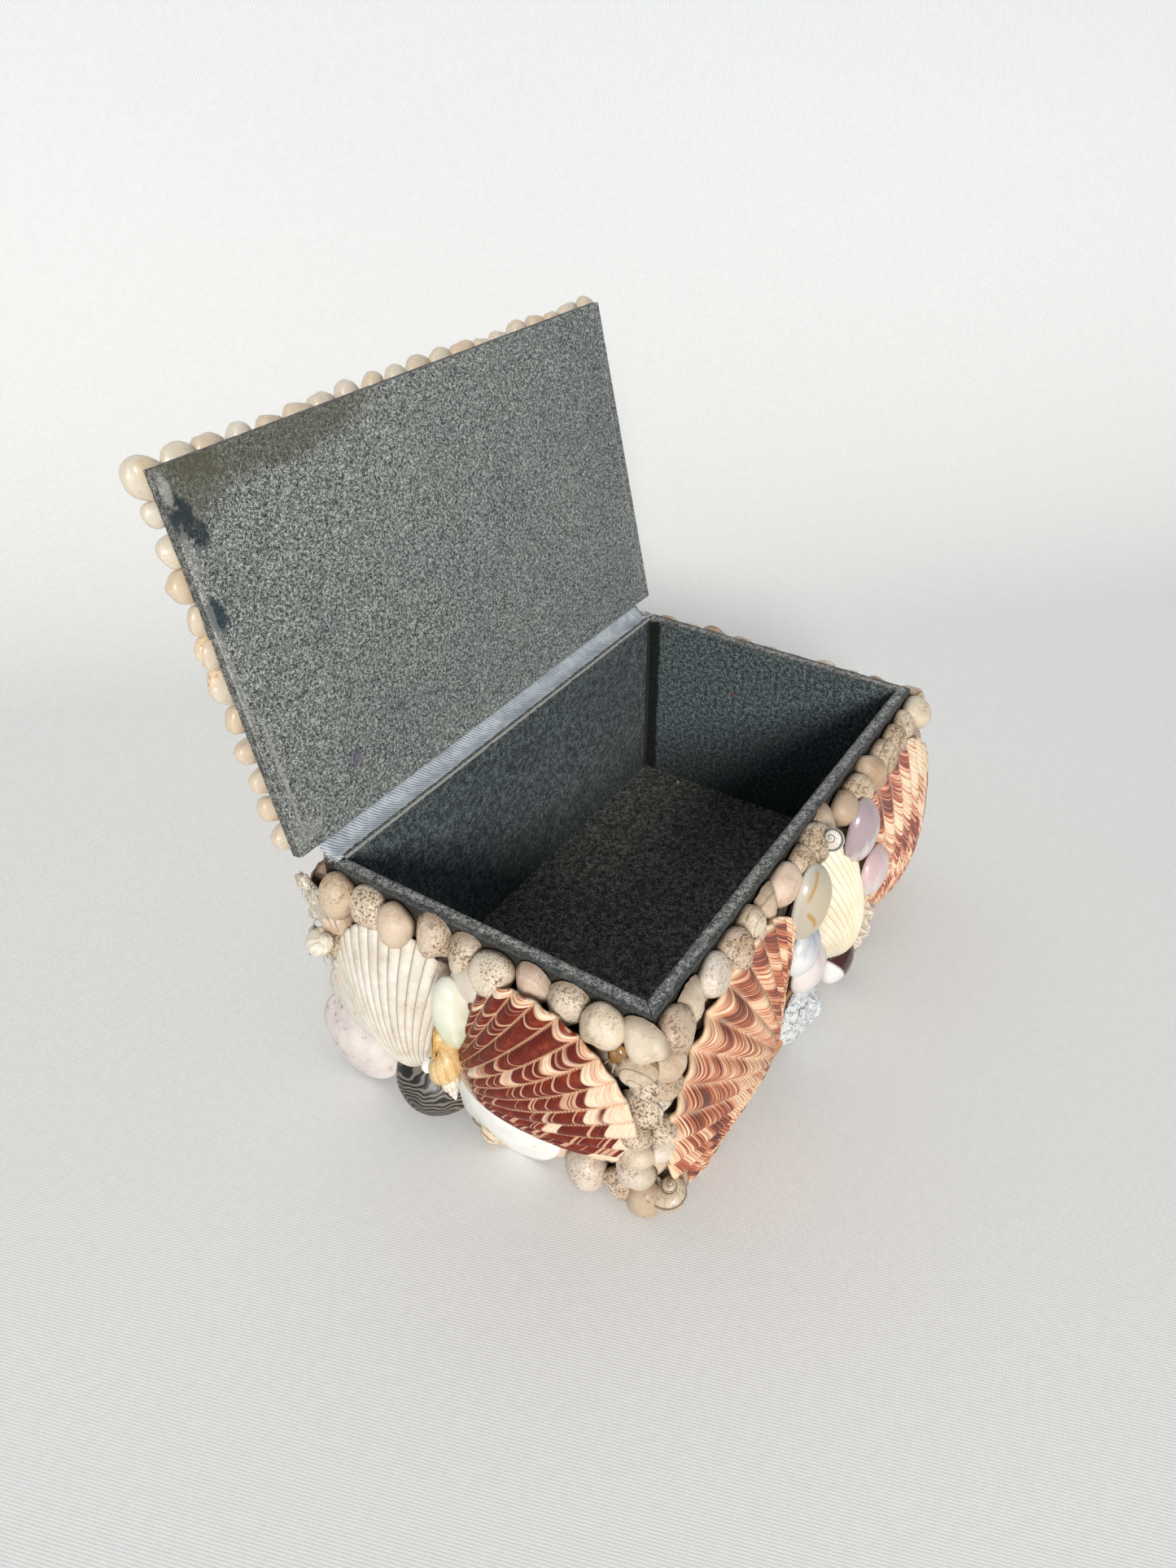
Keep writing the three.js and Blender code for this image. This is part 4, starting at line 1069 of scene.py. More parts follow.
scallop = valve_kind(
    1.1 * mm, aspect=1.12, inflation=0.62, disc=0.455, fan=math.radians(53), ear=0.34, ribs=13.0,
    rib_height=0.027, rib_roundness=0.75, growth_stops=9.0, stop_height=0.002, wander=0.02,
    columns=190, rounds=58)
glue_on(
    scallop("scallop_left", 55.1 * mm, calico,
        place_on("left", (-0.03, 0.364), 26, 1.5 * mm, 4.6, 4.1), aspect=1.16, ribs=17.0,
        columns=220, seed=2.0), "box", "calico_shell", "scallop_left")

# Cockle of the left wall: a chalky white valve with broad round ribs, darker in its grooves.
chalk_cockle, tree, shader, wear = start_shell("chalky_cockle", 0.006, 0.0012, 2.0)
marks = rib_marks(tree, bend=-0.01, seed=8.0)
colour = colour_ramp(wear["Mottle"],
    [(0.0, (0.58, 0.51, 0.41)), (0.6, (0.70, 0.65, 0.56)), (1.0, (0.77, 0.73, 0.66))])
colour = blend_colours(grade(marks["Streak"], 0.5, 0.75) * 0.25, colour, (0.60, 0.52, 0.42))
colour = blend_colours(
    wear["Pits"] * grade(wear["Mottle"], 0.4, 0.0, 0.1, 0.8), colour, (0.40, 0.27, 0.15))
groove = grade(marks["Bulge"], 0.32, 0.05)
colour = blend_colours(groove * 0.9, colour, (0.24, 0.175, 0.14))
paint(shader, colour, roughness=0.62)
height = marks["Streak"] * 0.4 + wear["Grain"] * 0.5
relief(shader, height, 0.0002)
cockle = valve_kind(
    1.2 * mm, aspect=0.85, inflation=0.7, disc=0.52, ribs=33.0, rib_height=0.018, rib_roundness=0.5,
    growth_stops=7.0, stop_height=0.002, wander=0.02, columns=331, rounds=50)
glue_on(
    cockle("cockle_left", 45.9 * mm, chalk_cockle,
        place_on("left", (-0.188, 0.242), 106, 2.8 * mm, 0, 8), seed=5.0), "box", "cream_shell",
    "cockle_left")

# Smooth clams of the left wall: a pink and lavender one lying low, a white one under the scallop,
# and a plain white one whose edge shows behind the cockle.
thin_skin = (0.004, 0.003, 0.002)


def smooth_shell(name, pale, deep, speck, gloss=0.25, bands=22.0, coat=0.4, banded=0.25):
    """A thin glossy shell with faint bands along its growth; gives back the material."""
    material, tree, shader, wear = start_shell(name, 0.007, 0.0013, 5.0)
    growth = read_attribute(tree, "growth")
    waves = calc("SINE", growth * bands) * banded + wear["Mottle"] * 0.8
    colour = colour_ramp(waves, [(0.05, deep), (0.65, pale)])
    few = wear["Pits"] * grade(wear["Mottle"], 0.5, 0.1)
    colour = blend_colours(few, colour, speck)
    paint(shader, colour, roughness=gloss, coat_weight=coat, coat_roughness=0.12,
        subsurface_weight=0.12, subsurface_radius=thin_skin)
    fine = calc("SINE", growth * (9 * bands)) * 0.15 + wear["Grain"]
    relief(shader, fine, 0.00004)
    return material


clam = valve_kind(
    0.8 * mm, aspect=1.3, inflation=0.7, disc=0.53, wander=0.03, stop_height=0.001, columns=72,
    rounds=34)
dull = smooth_shell("dull_white_valve", (0.72, 0.68, 0.61), (0.62, 0.57, 0.49), (0.40, 0.32, 0.24),
    gloss=0.5, banded=0.12)
lavender = smooth_shell("pink_lavender_clam", (0.73, 0.67, 0.62), (0.60, 0.515, 0.50),
    (0.14, 0.08, 0.07), gloss=0.34, banded=0.06)
white = smooth_shell("white_clam", (0.84, 0.84, 0.81), (0.77, 0.76, 0.71), (0.66, 0.62, 0.54),
    gloss=0.32, banded=0.12)
glue_on(
    clam("clam_lavender_left", 23.9 * mm, lavender,
        place_on("left", (-0.32, 0.31), 221, 4.8 * mm, 9.5, 5), aspect=1.16, seed=1.0), "box",
    "lavender_shell", "clam_lavender_left")
glue_on(
    clam("clam_white_left", 23.2 * mm, white,
        place_on("left", (0.128, 0.318), 252, 3.2 * mm, 6.7, -1.8), aspect=1.4, inflation=0.6,
        seed=6.0), "box", "white_shell", "clam_white_left")
glue_on(
    cockle("clam_behind_cockle", 32 * mm, dull,
        place_on("left", (-0.225, 0.27), 152, 4.0 * mm, 0, 4), ribs=1.0, rib_height=0.0,
        inflation=0.5, columns=60, seed=9.0), "box", "white_shell")

# Smooth ovals and a striped nerite of the left wall: solid-looking domes with a polished skin.
def two_toned(name, first, second, along, gloss, cloudy=1.4):
    """A glossy oval shading from one colour to another, with cloudy patches."""
    material, tree, shader = start_material(name)
    where = place_in(tree)
    cloud = noise_at(where, 130.0, 2.0)
    spot = vector_sum("DOT_PRODUCT", where, along[0])
    streak_place = combined(
        tree, read_attribute(tree, "over") * 2.6, read_attribute(tree, "rise") * 0.7)
    streaks = noise_at(streak_place, 1.7, 2.0)
    patchy = cloud + streaks - 1.0
    patchy = patchy * cloudy
    share = grade(spot, *along[1]) + patchy
    paint(shader, colour_ramp(share, [(0.15, first), (0.85, second)]), roughness=gloss,
        coat_weight=0.6, coat_roughness=0.08, subsurface_weight=0.15,
        subsurface_radius=thin_skin)
    relief(shader, cloud, 0.0001)
    return material


green = two_toned("pale_green_oval", (0.60, 0.61, 0.44), (0.76, 0.76, 0.64),
    ((0.0, 0.0, 1.0), (0.040, 0.060)), 0.2)
grey = two_toned("grey_beige_dome", (0.50, 0.44, 0.37), (0.62, 0.56, 0.48),
    ((0.0, 0.0, 1.0), (0.045, 0.062)), 0.4)
glue_on(
    domed("oval_green_left", 25 * mm, 11.6 * mm, 6.6 * mm, green,
        place_on("left", (-0.027, 0.672), 97, 6.3 * mm), 1.4), "box", "white_shell",
    "oval_green_left")
glue_on(
    domed("round_grey_left", 11 * mm, 12 * mm, 5 * mm, grey,
        place_on("left", (0.005, 0.80), 80, 2.6 * mm), 2.2), "box", "pearl_shell")
glue_on(
    domed("white_knob_left", 4.6 * mm, 3.6 * mm, 3 * mm, white,
        place_on("left", (-0.129, 0.318), 120, 8 * mm), 0.6), "box", "white_shell")

striped, tree, shader = start_material("striped_nerite")
where = place_in(tree)
wander = noise_at(where, 95.0, 2.0)
lip_spot = (-0.095, 0.008, 0.004)
from_lip = vector_sum("DISTANCE", where, lip_spot)
rings = from_lip * 3300.0 + wander * 44.0
stripe = calc("SINE", rings)
ground = colour_ramp(wander,
    [(0.4, (0.12, 0.108, 0.09)), (0.55, (0.20, 0.165, 0.115)), (0.65, (0.16, 0.15, 0.135))])
colour = blend_colours(grade(stripe, -0.4, 0.0), ground, (0.012, 0.010, 0.009))
paint(shader, colour, roughness=0.46, coat_weight=0.1, coat_roughness=0.35)
relief(shader, stripe + wander, 0.00006)
glue_on(
    domed("nerite_left", 25 * mm, 21 * mm, 13 * mm, striped,
        place_on("left", (-0.157, 0.16), -21, 1.5 * mm), 0.8, 0.04), "box", "olive_shell",
    "nerite_left")


# Snails of the left wall: a yellow one with a white tip, a rough cream one and a small brown one.
def coiled(name, length, width, whorls, finish, place, bumps=0, bump=0.0, cords=0, cord=0.0):
    """A coiled shell on its side, its tip along +Y and its mouth down: a tube that grows as it winds."""
    shape = bmesh.new()
    growth_layer = shape.verts.layers.float.new("growth")
    rib_layer = shape.verts.layers.float.new("rib")
    round_layer = shape.verts.layers.float.new("around")
    per_whorl, sides = 30, 20
    steps = round(whorls * per_whorl)
    tube = 0.4 * width
    coil = width / 2 - 0.8 * tube
    finest = 0.05
    mouth_turn = math.radians(-75)
    widening = finest ** (-1 / whorls)
    stretch = length * (widening - 1) / (tube * (0.85 * (widening + 1) + widening - 1))

    def ring_at(share, shrink):
        size = finest ** (1 - share)
        angle = mouth_turn + 2 * math.pi * whorls * (share - 1)
        out = Vector((math.cos(angle), 0, math.sin(angle)))
        from_tip = length - (length - stretch * tube) * size
        middle = size * coil * out + Vector((0, from_tip, width / 2))
        swell = 1 + bump * abs(math.sin(bumps * angle / 2))
        ring = []
        for side in range(sides):
            turned = 2 * math.pi * side / sides
            radius = tube * size * swell * shrink * (1 + cord * abs(math.sin(cords * turned / 2)))
            away = math.cos(turned) * out + Vector((0, stretch * math.sin(turned), 0))
            vertex = shape.verts.new(middle + radius * away)
            vertex[growth_layer] = share
            vertex[rib_layer] = 12 * whorls * share
            vertex[round_layer] = side / sides
            ring.append(vertex)
        return ring

    rings = [ring_at(step / steps, 1.0) for step in range(steps + 1)]
    rings += [ring_at(1.0, 1.08), ring_at(1.0, 0.84), ring_at(1.0 - 0.12 / whorls, 0.72)]
    for before, after in zip(rings, rings[1:]):
        for side in range(sides):
            after_side = (side + 1) % sides
            shape.faces.new((before[side], after[side], after[after_side], before[after_side]))
    shape.faces.new(rings[0])
    shape.faces.new(rings[-1][::-1])
    bmesh.ops.recalc_face_normals(shape, faces=shape.faces)
    return link_piece(name, mesh_from(shape, name, place), finish)


def snail_finish(name, stops, mark_colour, marks, gloss, seed=0.0, lines=0):
    """A snail's colours from tip to mouth; marks is the strength of the bars across its whorls, and
    lines is how many lines run along them."""
    material, tree, shader, wear = start_shell(name, 0.003, 0.0005, seed)
    growth, rib = read_attribute(tree, "growth"), read_attribute(tree, "rib")
    place = growth + (wear["Mottle"] - 0.5) * 0.12
    colour = colour_ramp(place, stops)
    bars = calc("SINE", rib * (2 * math.pi)) + wear["Mottle"] * 1.4
    colour = blend_colours(grade(bars, 1.0, 1.5) * marks, colour, mark_colour)
    if lines:
        wave = calc("SINE", read_attribute(tree, "around") * (2 * math.pi * lines))
        colour = blend_colours(grade(wave, 0.7, 0.85, 0.0, 0.8), colour, mark_colour)
    colour = blend_colours(wear["Pits"] * 0.5, colour, mark_colour)
    paint(shader, colour, roughness=gloss, coat_weight=0.3)
    relief(shader, wear["Grain"], 0.0001)
    return material


yellow_snail = snail_finish("yellow_snail",
    [(0.5, (0.84, 0.81, 0.76)), (0.74, (0.80, 0.72, 0.58)), (0.84, (0.78, 0.58, 0.30)),
        (0.97, (0.74, 0.50, 0.20))], (0.42, 0.22, 0.09), 0.4, 0.35)
rough_snail = snail_finish("rough_cream_snail",
    [(0.1, (0.74, 0.70, 0.62)), (0.9, (0.80, 0.74, 0.63))], (0.46, 0.33, 0.2), 0.35, 0.6, 4.0)
brown_snail = snail_finish("small_brown_snail",
    [(0.1, (0.55, 0.42, 0.28)), (0.9, (0.66, 0.56, 0.42))], (0.26, 0.14, 0.07), 0.9, 0.5, 6.0)
glue_on(
    coiled("snail_yellow_left", 24 * mm, 10.5 * mm, 5, yellow_snail,
        place_on("left", (-0.062, 0.6), 283, 7 * mm), 18, 0.08, 5, 0.05), "box", "amber_shell",
    "snail_yellow_left")
glue_on(
    coiled("snail_rough_left", 11 * mm, 10.5 * mm, 3, rough_snail,
        place_on("left", (-0.49, 0.635), 60, 4 * mm), 9, 0.10, 5, 0.10), "box", "cream_shell",
    "snail_rough_left")
glue_on(
    coiled("snail_brown_left", 15 * mm, 9 * mm, 4, brown_snail,
        place_on("left", (-0.02, 0.098), -24, 1 * mm), 10, 0.1, 6, 0.08), "box", "olive_shell")

# Scallops of the front wall: two salmon and cream valves with round ribs. Their colour lies in
# wavy growth bands that run across the ribs, darkest in patches.
def salmon_scallop(name, seed, cream, salmon, rust, brown, bands):
    material, tree, shader, wear = start_shell(name, 0.0025, 0.0006, seed)
    marks = rib_marks(tree, bend=0.05, crescents=18.0, streaks=120.0, seed=seed)
    depth = marks["Patch"] * 0.58 + marks["Streak"] * 0.42
    depth = depth + (marks["Crescent"] - 0.5) * (0.4 * bands)
    colour = colour_ramp(depth,
        [(0.43, cream), (0.475, (0.77, 0.48, 0.32)), (0.51, salmon), (0.55, rust), (0.60, brown)])
    groove = grade(marks["Bulge"], 0.45, 0.05)
    colour = blend_colours(groove * 0.35, colour, cream)
    rim = grade(marks["Growth"], 0.955, 0.99)
    colour = blend_colours(rim * 0.8, colour, cream)
    paint(shader, colour, roughness=0.5, specular_ior_level=0.3)
    rings = calc("SINE", marks["Bent growth"] * 260.0)
    height = rings * 0.3 + marks["Streak"] * 0.6
    relief(shader, height + wear["Grain"] * 0.4, 0.00018)
    return material


salmon_left = salmon_scallop("salmon_scallop", 11.0, (0.87, 0.65, 0.43), (0.60, 0.215, 0.105),
    (0.36, 0.10, 0.055), (0.14, 0.06, 0.05), 0.12)
salmon_right = salmon_scallop("salmon_brown_scallop", 21.0, (0.84, 0.66, 0.47), (0.56, 0.22, 0.14),
    (0.36, 0.11, 0.075), (0.17, 0.07, 0.065), 0.3)
glue_on(
    scallop("scallop_front_left", 51.8 * mm, salmon_left,
        place_on("front", (-0.195, 0.229), 138, 7.4 * mm, -4.2), aspect=1.3, inflation=0.4,
        disc=0.54, fan=math.radians(65), ribs=16.0, rib_height=0.052, rib_roundness=1.1,
        wander=0.05, columns=230, seed=12.0), "box", "calico_shell", "scallop_front_left")
glue_on(
    scallop("scallop_front_right", 59.1 * mm, salmon_right,
        place_on("front", (0.257, 0.134), 66, 2.6 * mm, 3.1, -6.5), ribs=17.0, rib_height=0.03,
        rib_roundness=0.9, columns=230, seed=15.0), "box", "calico_shell", "scallop_front_right")

# Cockle of the front wall: thin, cream yellow, with sharp ribs that end in teeth.
cream_cockle, tree, shader, wear = start_shell("cream_cockle", 0.008, 0.001, 31.0)
marks = rib_marks(tree, bend=-0.012, seed=31.0)
colour = colour_ramp(marks["Patch"], [(0.35, (0.83, 0.73, 0.53)), (0.6, (0.86, 0.80, 0.65))])
colour = blend_colours(grade(marks["Streak"], 0.52, 0.7) * 0.3, colour, (0.74, 0.58, 0.36))
colour = blend_colours(grade(marks["Bulge"], 0.35, 0.05) * 0.35, colour, (0.58, 0.44, 0.27))
paint(shader, colour, roughness=0.5, subsurface_weight=0.1, subsurface_radius=thin_skin)
relief(shader, marks["Streak"] + wear["Grain"], 0.00012)
glue_on(
    cockle("cockle_front", 48.0 * mm, cream_cockle,
        place_on("front", (0.12, 0.135), 102, 0.6 * mm, 2), inflation=0.85, ribs=46.0, columns=461,
        rib_height=0.026, rib_roundness=0.9, seed=18.0), "box", "cream_shell", "cockle_front")


# Smooth oval shells of the front wall, glued over the joints: amber, pearl, lavender and pink.
amber, tree, shader = start_material("amber_oval")
where = place_in(tree)
growth = read_attribute(tree, "growth")
veins = noise_at(where, 75.0, 2.0, distortion=0.6)
over, rise = read_attribute(tree, "over"), read_attribute(tree, "rise")
wobble = (veins - 0.5) * 0.22


def golden_line(middle, turn, half_length, strength):
    """A thin line in the oval, its middle given by over and rise, its turn in degrees."""
    across, up = over - middle[0], rise - middle[1]
    cosine, sine = math.cos(math.radians(turn)), math.sin(math.radians(turn))
    along = across * cosine + up * sine
    beside = up * cosine - across * sine
    beside = abs(beside + wobble)
    ends = grade(abs(along), half_length, 0.7 * half_length, 0.0, strength)
    return grade(beside, 0.065, 0.02) * ends


vein = golden_line((-0.20, 0.60), 22, 0.42, 0.75)
blot = golden_line((-0.46, 0.04), -53, 0.24, 0.9)
colour = colour_ramp(growth,
    [(0.0, (0.60, 0.49, 0.31)), (0.45, (0.54, 0.46, 0.33)), (0.8, (0.50, 0.45, 0.37)),
        (1.0, (0.66, 0.62, 0.55))])
colour = blend_colours(calc("MAXIMUM", vein, blot), colour, (0.46, 0.25, 0.04))
paint(shader, colour, roughness=0.30, coat_weight=0.35, coat_roughness=0.08, subsurface_weight=0.35,
    subsurface_radius=(0.006, 0.004, 0.002))
relief(shader, veins, 0.00015)
glue_on(
    domed("oval_amber_front", 26 * mm, 19.5 * mm, 6.5 * mm, amber,
        place_on("front", (-0.068, 0.77), 100, 6.4 * mm), 1.0, 0.02, taper=0.10), "box",
    "amber_shell", "oval_amber_front")

pearl = two_toned("pearl_oval", (0.74, 0.75, 0.74), (0.15, 0.19, 0.28),
    ((0.5, 0.0, 0.9), (0.024, 0.042)), 0.14, 0.6)
purple = two_toned("lavender_oval", (0.73, 0.68, 0.65), (0.40, 0.31, 0.33),
    ((-0.2, 0.0, 1.0), (0.040, 0.056)), 0.24)
pink = two_toned("pink_oval", (0.75, 0.68, 0.645), (0.61, 0.44, 0.445),
    ((0.0, 0.0, 1.0), (0.028, 0.044)), 0.26)
for node, length, width, depth, finish, slot, at, turn, stand, seed, lump in (
    ("oval_lavender_front", 24, 17, 6.4, purple, "lavender_shell", (0.145, 0.78), 98, 6.8, 2.0, 0.03),
    ("clam_pink_front", 18, 18, 5.4, pink, "lavender_shell", (0.187, 0.521), 83, 11, 3.0, 0.05),
    ("clam_lavender_front", 17, 20, 6, pink, "lavender_shell", (-0.037, 0.358), 68, 7.3, 4.0, 0.05),
    ("oval_pearl_front", 17, 15.5, 5.4, pearl, "pearl_shell", (-0.076, 0.531), 74, 7.4, 5.0, 0.03),
):
    oval = domed(node, length * mm, width * mm, depth * mm, finish,
        place_on("front", at, turn, stand * mm), seed, lump)
    glue_on(oval, "box", slot, node)

# Odd pieces of the front wall: a crusted chip of shell before an orange-edged valve, a glossy brown
# snail, a spiny cluster and a striped snail at the bottom corner.
crust, tree, shader, wear = start_shell("crusted_chip", 0.0016, 0.0006, 9.0)
colour = colour_ramp(wear["Mottle"],
    [(0.1, (0.38, 0.39, 0.37)), (0.35, (0.72, 0.75, 0.77)), (0.8, (0.84, 0.86, 0.87))])
colour = blend_colours(wear["Pits"] * 0.7, colour, (0.17, 0.17, 0.14))
paint(shader, colour, roughness=0.85)
relief(shader, wear["Mottle"] + wear["Grain"], 0.0005)
chip = [domed("chip", 22 * mm, 18 * mm, 6 * mm, crust,
    place_on("front", (-0.058, 0.142), 160, 7.5 * mm), 3.0, 0.08, fullness=2.8)]
chances = random.Random(17)
for number in range(12):
    spot = (-0.058 + chances.uniform(-0.035, 0.035), 0.142 + chances.uniform(-0.07, 0.09))
    size = chances.uniform(2.2, 4.4) * mm
    chip.append(domed(f"barnacle_{number}", size, size, 0.7 * size, crust,
        place_on("front", spot, 90, 11.2 * mm), number, 0.1, 0.25))
glue_on(as_one("barnacle_front", chip), "box", "grey_shell", "barnacle_front")
orange_edge = smooth_shell("orange_edged_valve", (0.60, 0.30, 0.12), (0.30, 0.13, 0.06),
    (0.16, 0.07, 0.04), gloss=0.45, bands=60.0)
glue_on(
    domed("valve_orange_front", 25 * mm, 3.8 * mm, 3.6 * mm, orange_edge,
        place_on("front", (-0.112, 0.142), 54, 6.0 * mm), 0.9, 0.08), "box", "amber_shell")
glossy = two_toned("glossy_brown_snail", (0.80, 0.76, 0.75), (0.050, 0.014, 0.010),
    ((0.9, 0.0, 0.44), (0.0150, 0.0162)), 0.12, 0.1)
glue_on(
    domed("snail_brown_front", 18 * mm, 12 * mm, 7.5 * mm, glossy,
        place_on("front", (0.098, 0.14), 10, 7.5 * mm), 2.2, 0.05, wrap=105), "box", "olive_shell",
    "snail_brown_front")
spiny = snail_finish("spiny_cluster",
    [(0.1, (0.80, 0.76, 0.68)), (0.6, (0.66, 0.55, 0.42)), (0.95, (0.78, 0.72, 0.62))],
    (0.30, 0.20, 0.13), 0.6, 0.6, 12.0)
for number, (along, up, size) in enumerate((
    (0.205, 0.13, 9), (0.232, 0.19, 8), (0.19, 0.085, 7.5),
)):
    glue_on(
        domed(f"spiny_front_{number}", size * mm, 0.85 * size * mm, 0.75 * size * mm, spiny,
            place_on("front", (along, up), 90, 7.5 * mm), 2.0 * number, 0.1, 0.7), "box",
        "grey_shell")
ringed = snail_finish("ringed_snail", [(0.2, (0.52, 0.42, 0.31)), (0.9, (0.62, 0.50, 0.36))],
    (0.10, 0.065, 0.045), 0.15, 0.4, 15.0, lines=5)
glue_on(
    coiled("snail_corner_front", 13 * mm, 13 * mm, 3, ringed,
        place_on("front", (-0.489, 0.045), 100, 0.4 * mm)), "box", "olive_shell")
white_ringed = snail_finish("white_ringed_snail",
    [(0.2, (0.68, 0.62, 0.55)), (0.9, (0.76, 0.71, 0.64))], (0.02, 0.018, 0.018), 0.1, 0.4, 18.0,
    lines=3)
glue_on(
    coiled("snail_second_row", 9 * mm, 10 * mm, 3, white_ringed,
        place_on("front", (0.036, 0.924), 150, 2.4 * mm)), "box", "olive_shell")
brown_pebble = smooth_shell("brown_pebble", (0.52, 0.40, 0.28), (0.36, 0.25, 0.16),
    (0.16, 0.10, 0.06), gloss=0.55, bands=5.0, coat=0.1)
glue_on(
    domed("pebble_corner", 13.5 * mm, 9 * mm, 6.5 * mm, brown_pebble,
        place_on("left", (0.512, 0.098), 82, 0.4 * mm), 1.2, 0.06, wrap=108, fullness=2.4), "box",
    "olive_shell")

# Plainer sides, not in the photograph: a cockle and a scallop on the right wall, a scallop between
# two cockles on the back wall and on the lid, in the same finishes, with small shells between.
pale_scallop = salmon_scallop("pale_scallop", 41.0, (0.84, 0.72, 0.58), (0.74, 0.50, 0.38),
    (0.55, 0.30, 0.22), (0.38, 0.20, 0.16), 0.2)
for node, make, length, finish, slot, face, at, turn, stand, tilt, seed in (
    ("cockle_right", cockle, 50, chalk_cockle, "cream_shell", "right", (-0.2, 0.24), 80, 3, 1, 31.0),
    ("scallop_right", scallop, 50, salmon_right, "calico_shell", "right", (0.22, 0.22), 98, 3, 2, 32.0),
    ("scallop_back", scallop, 54, salmon_left, "calico_shell", "back", (0, 0.18), 90, 3, 1, 33.0),
    ("cockle_back_left", cockle, 46, chalk_cockle, "cream_shell", "back", (-0.31, 0.22), 96, 3, 1, 34.0),
    ("cockle_back_right", cockle, 46, cream_cockle, "cream_shell", "back", (0.31, 0.22), 82, 3, 1, 35.0),
    ("scallop_lid", scallop, 60, pale_scallop, "calico_shell", "lid", (0, 0.2), 90, 1.5, 1, 36.0),
    ("cockle_lid_left", cockle, 52, chalk_cockle, "cream_shell", "lid", (-0.29, 0.22), 100, 1.5, 1, 37.0),
    ("cockle_lid_right", cockle, 52, cream_cockle, "cream_shell", "lid", (0.29, 0.22), 80, 1.5, 1, 38.0),
):
    big = make(node, length * mm, finish, place_on(face, at, turn, stand * mm, tilt), seed=seed)
    glue_on(big, "lid" if face == "lid" else "box", slot, node)

# Edge of the lid: small pearly shells glued round it so that half of each stands past the board,
# with a big valve on the front left corner and two orange ones on the left edge.
pearly, tree, shader, wear = start_shell("pearly_small_shell", 0.004, 0.0005, 20.0)
colour = colour_ramp(read_attribute(tree, "tint"),
    [(0.0, (0.66, 0.58, 0.46)), (0.5, (0.60, 0.46, 0.31)), (1.0, (0.66, 0.61, 0.53))])
colour = blend_colours(wear["Mottle"] * 0.4, colour, (0.70, 0.64, 0.53))
colour = blend_colours(wear["Pits"] * 0.25, colour, (0.40, 0.28, 0.18))
paint(shader, colour, roughness=0.35, coat_weight=0.3, subsurface_weight=0.25,
    subsurface_radius=thin_skin)
relief(shader, wear["Grain"], 0.00008)
edge_line = 1.2 * mm
edge_inset = -1.2 * mm
orange_pearly = smooth_shell("orange_pearly_valve", (0.74, 0.60, 0.43), (0.68, 0.46, 0.26),
    (0.4, 0.2, 0.1), gloss=0.3, bands=9.0)
lid_side = lid_length / 2 + edge_inset
back_side = lid_length / 2 - 0.011
side_start, side_end, back_line = 0.0098, lid_width - 0.0055, lid_width - 6.0 * mm
for name, start, end, count, turn, seed in (
    ("front", (-lid_side, 1.4 * edge_line), (lid_side, 1.8 * edge_line), 20, 0.0, 61),
    ("left", (-lid_side, side_start), (-lid_side, side_end), 11, math.pi / 2, 62),
    ("right", (lid_side, side_start), (lid_side, side_end), 11, -math.pi / 2, 63),
    ("back", (-back_side, back_line), (back_side, back_line), 17, 0.0, 64),
):
    row = lay_row("edge_shells_" + name, "lid", start, end, count, 9.2 * mm, seed,
        shape=(1.0, 1.0, 1.0), turn=turn, spin=0.4, out=0.2 * mm, spread=(0.86, 1.08), last_kind=4,
        finish=pearly)
    glue_on(row, "lid", "small_shell", "lid_row_" + name)
bed = []
bed_side = lid_length / 2 - 0.0115
for step, height in enumerate((0.0160, 0.0255, 0.0350, 0.0455, 0.0565, 0.0675, 0.0785, 0.0880)):
    bed.append(lay_row("bed", "lid", (-bed_side, height), (bed_side, height), 16, 11.8 * mm,
        70 + step, spin=3.0, scatter=1.2 * mm, out=-1.0 * mm, shape=(1.0, 1.0, 0.72)))
glue_on(as_one("bed_shells_lid", bed), "lid", "small_shell")
corner_valve = domed("edge_valve_corner", 12 * mm, 10 * mm, 6 * mm, pearly,
    place_on("lid", (-0.492, 0.022), 40, 0.1 * mm), 5.1, 0.04, wrap=112)
glue_on(corner_valve, "lid", "white_shell")
for number, up in enumerate((0.425, 0.505)):
    orange_valve = domed(f"edge_valve_orange_{number}", 8.6 * mm, 7.6 * mm, 4.6 * mm, orange_pearly,
        place_on("lid", (-0.497, up), 90, 0.2 * mm), 5.2 + number, 0.04, wrap=112)
    glue_on(orange_valve, "lid", "amber_shell")

# Glue: hot glue has set in gnarled lumps and threads at the back left corner, in an amber drop
# between two rim shells of the left wall, and in a pale lump at the right end of the tape.
def set_glue(name, colour, gloss):
    material, tree, shader, wear = start_shell(name, 0.0015, 0.0005, 14.0)
    darker = tuple(0.62 * part for part in colour)
    paint(shader, colour_ramp(wear["Mottle"], [(0.1, darker), (0.8, colour)]), roughness=gloss,
        coat_weight=0.5, coat_roughness=0.1, subsurface_weight=0.3,
        subsurface_radius=thin_skin)
    relief(shader, wear["Mottle"], 0.0004)
    return material


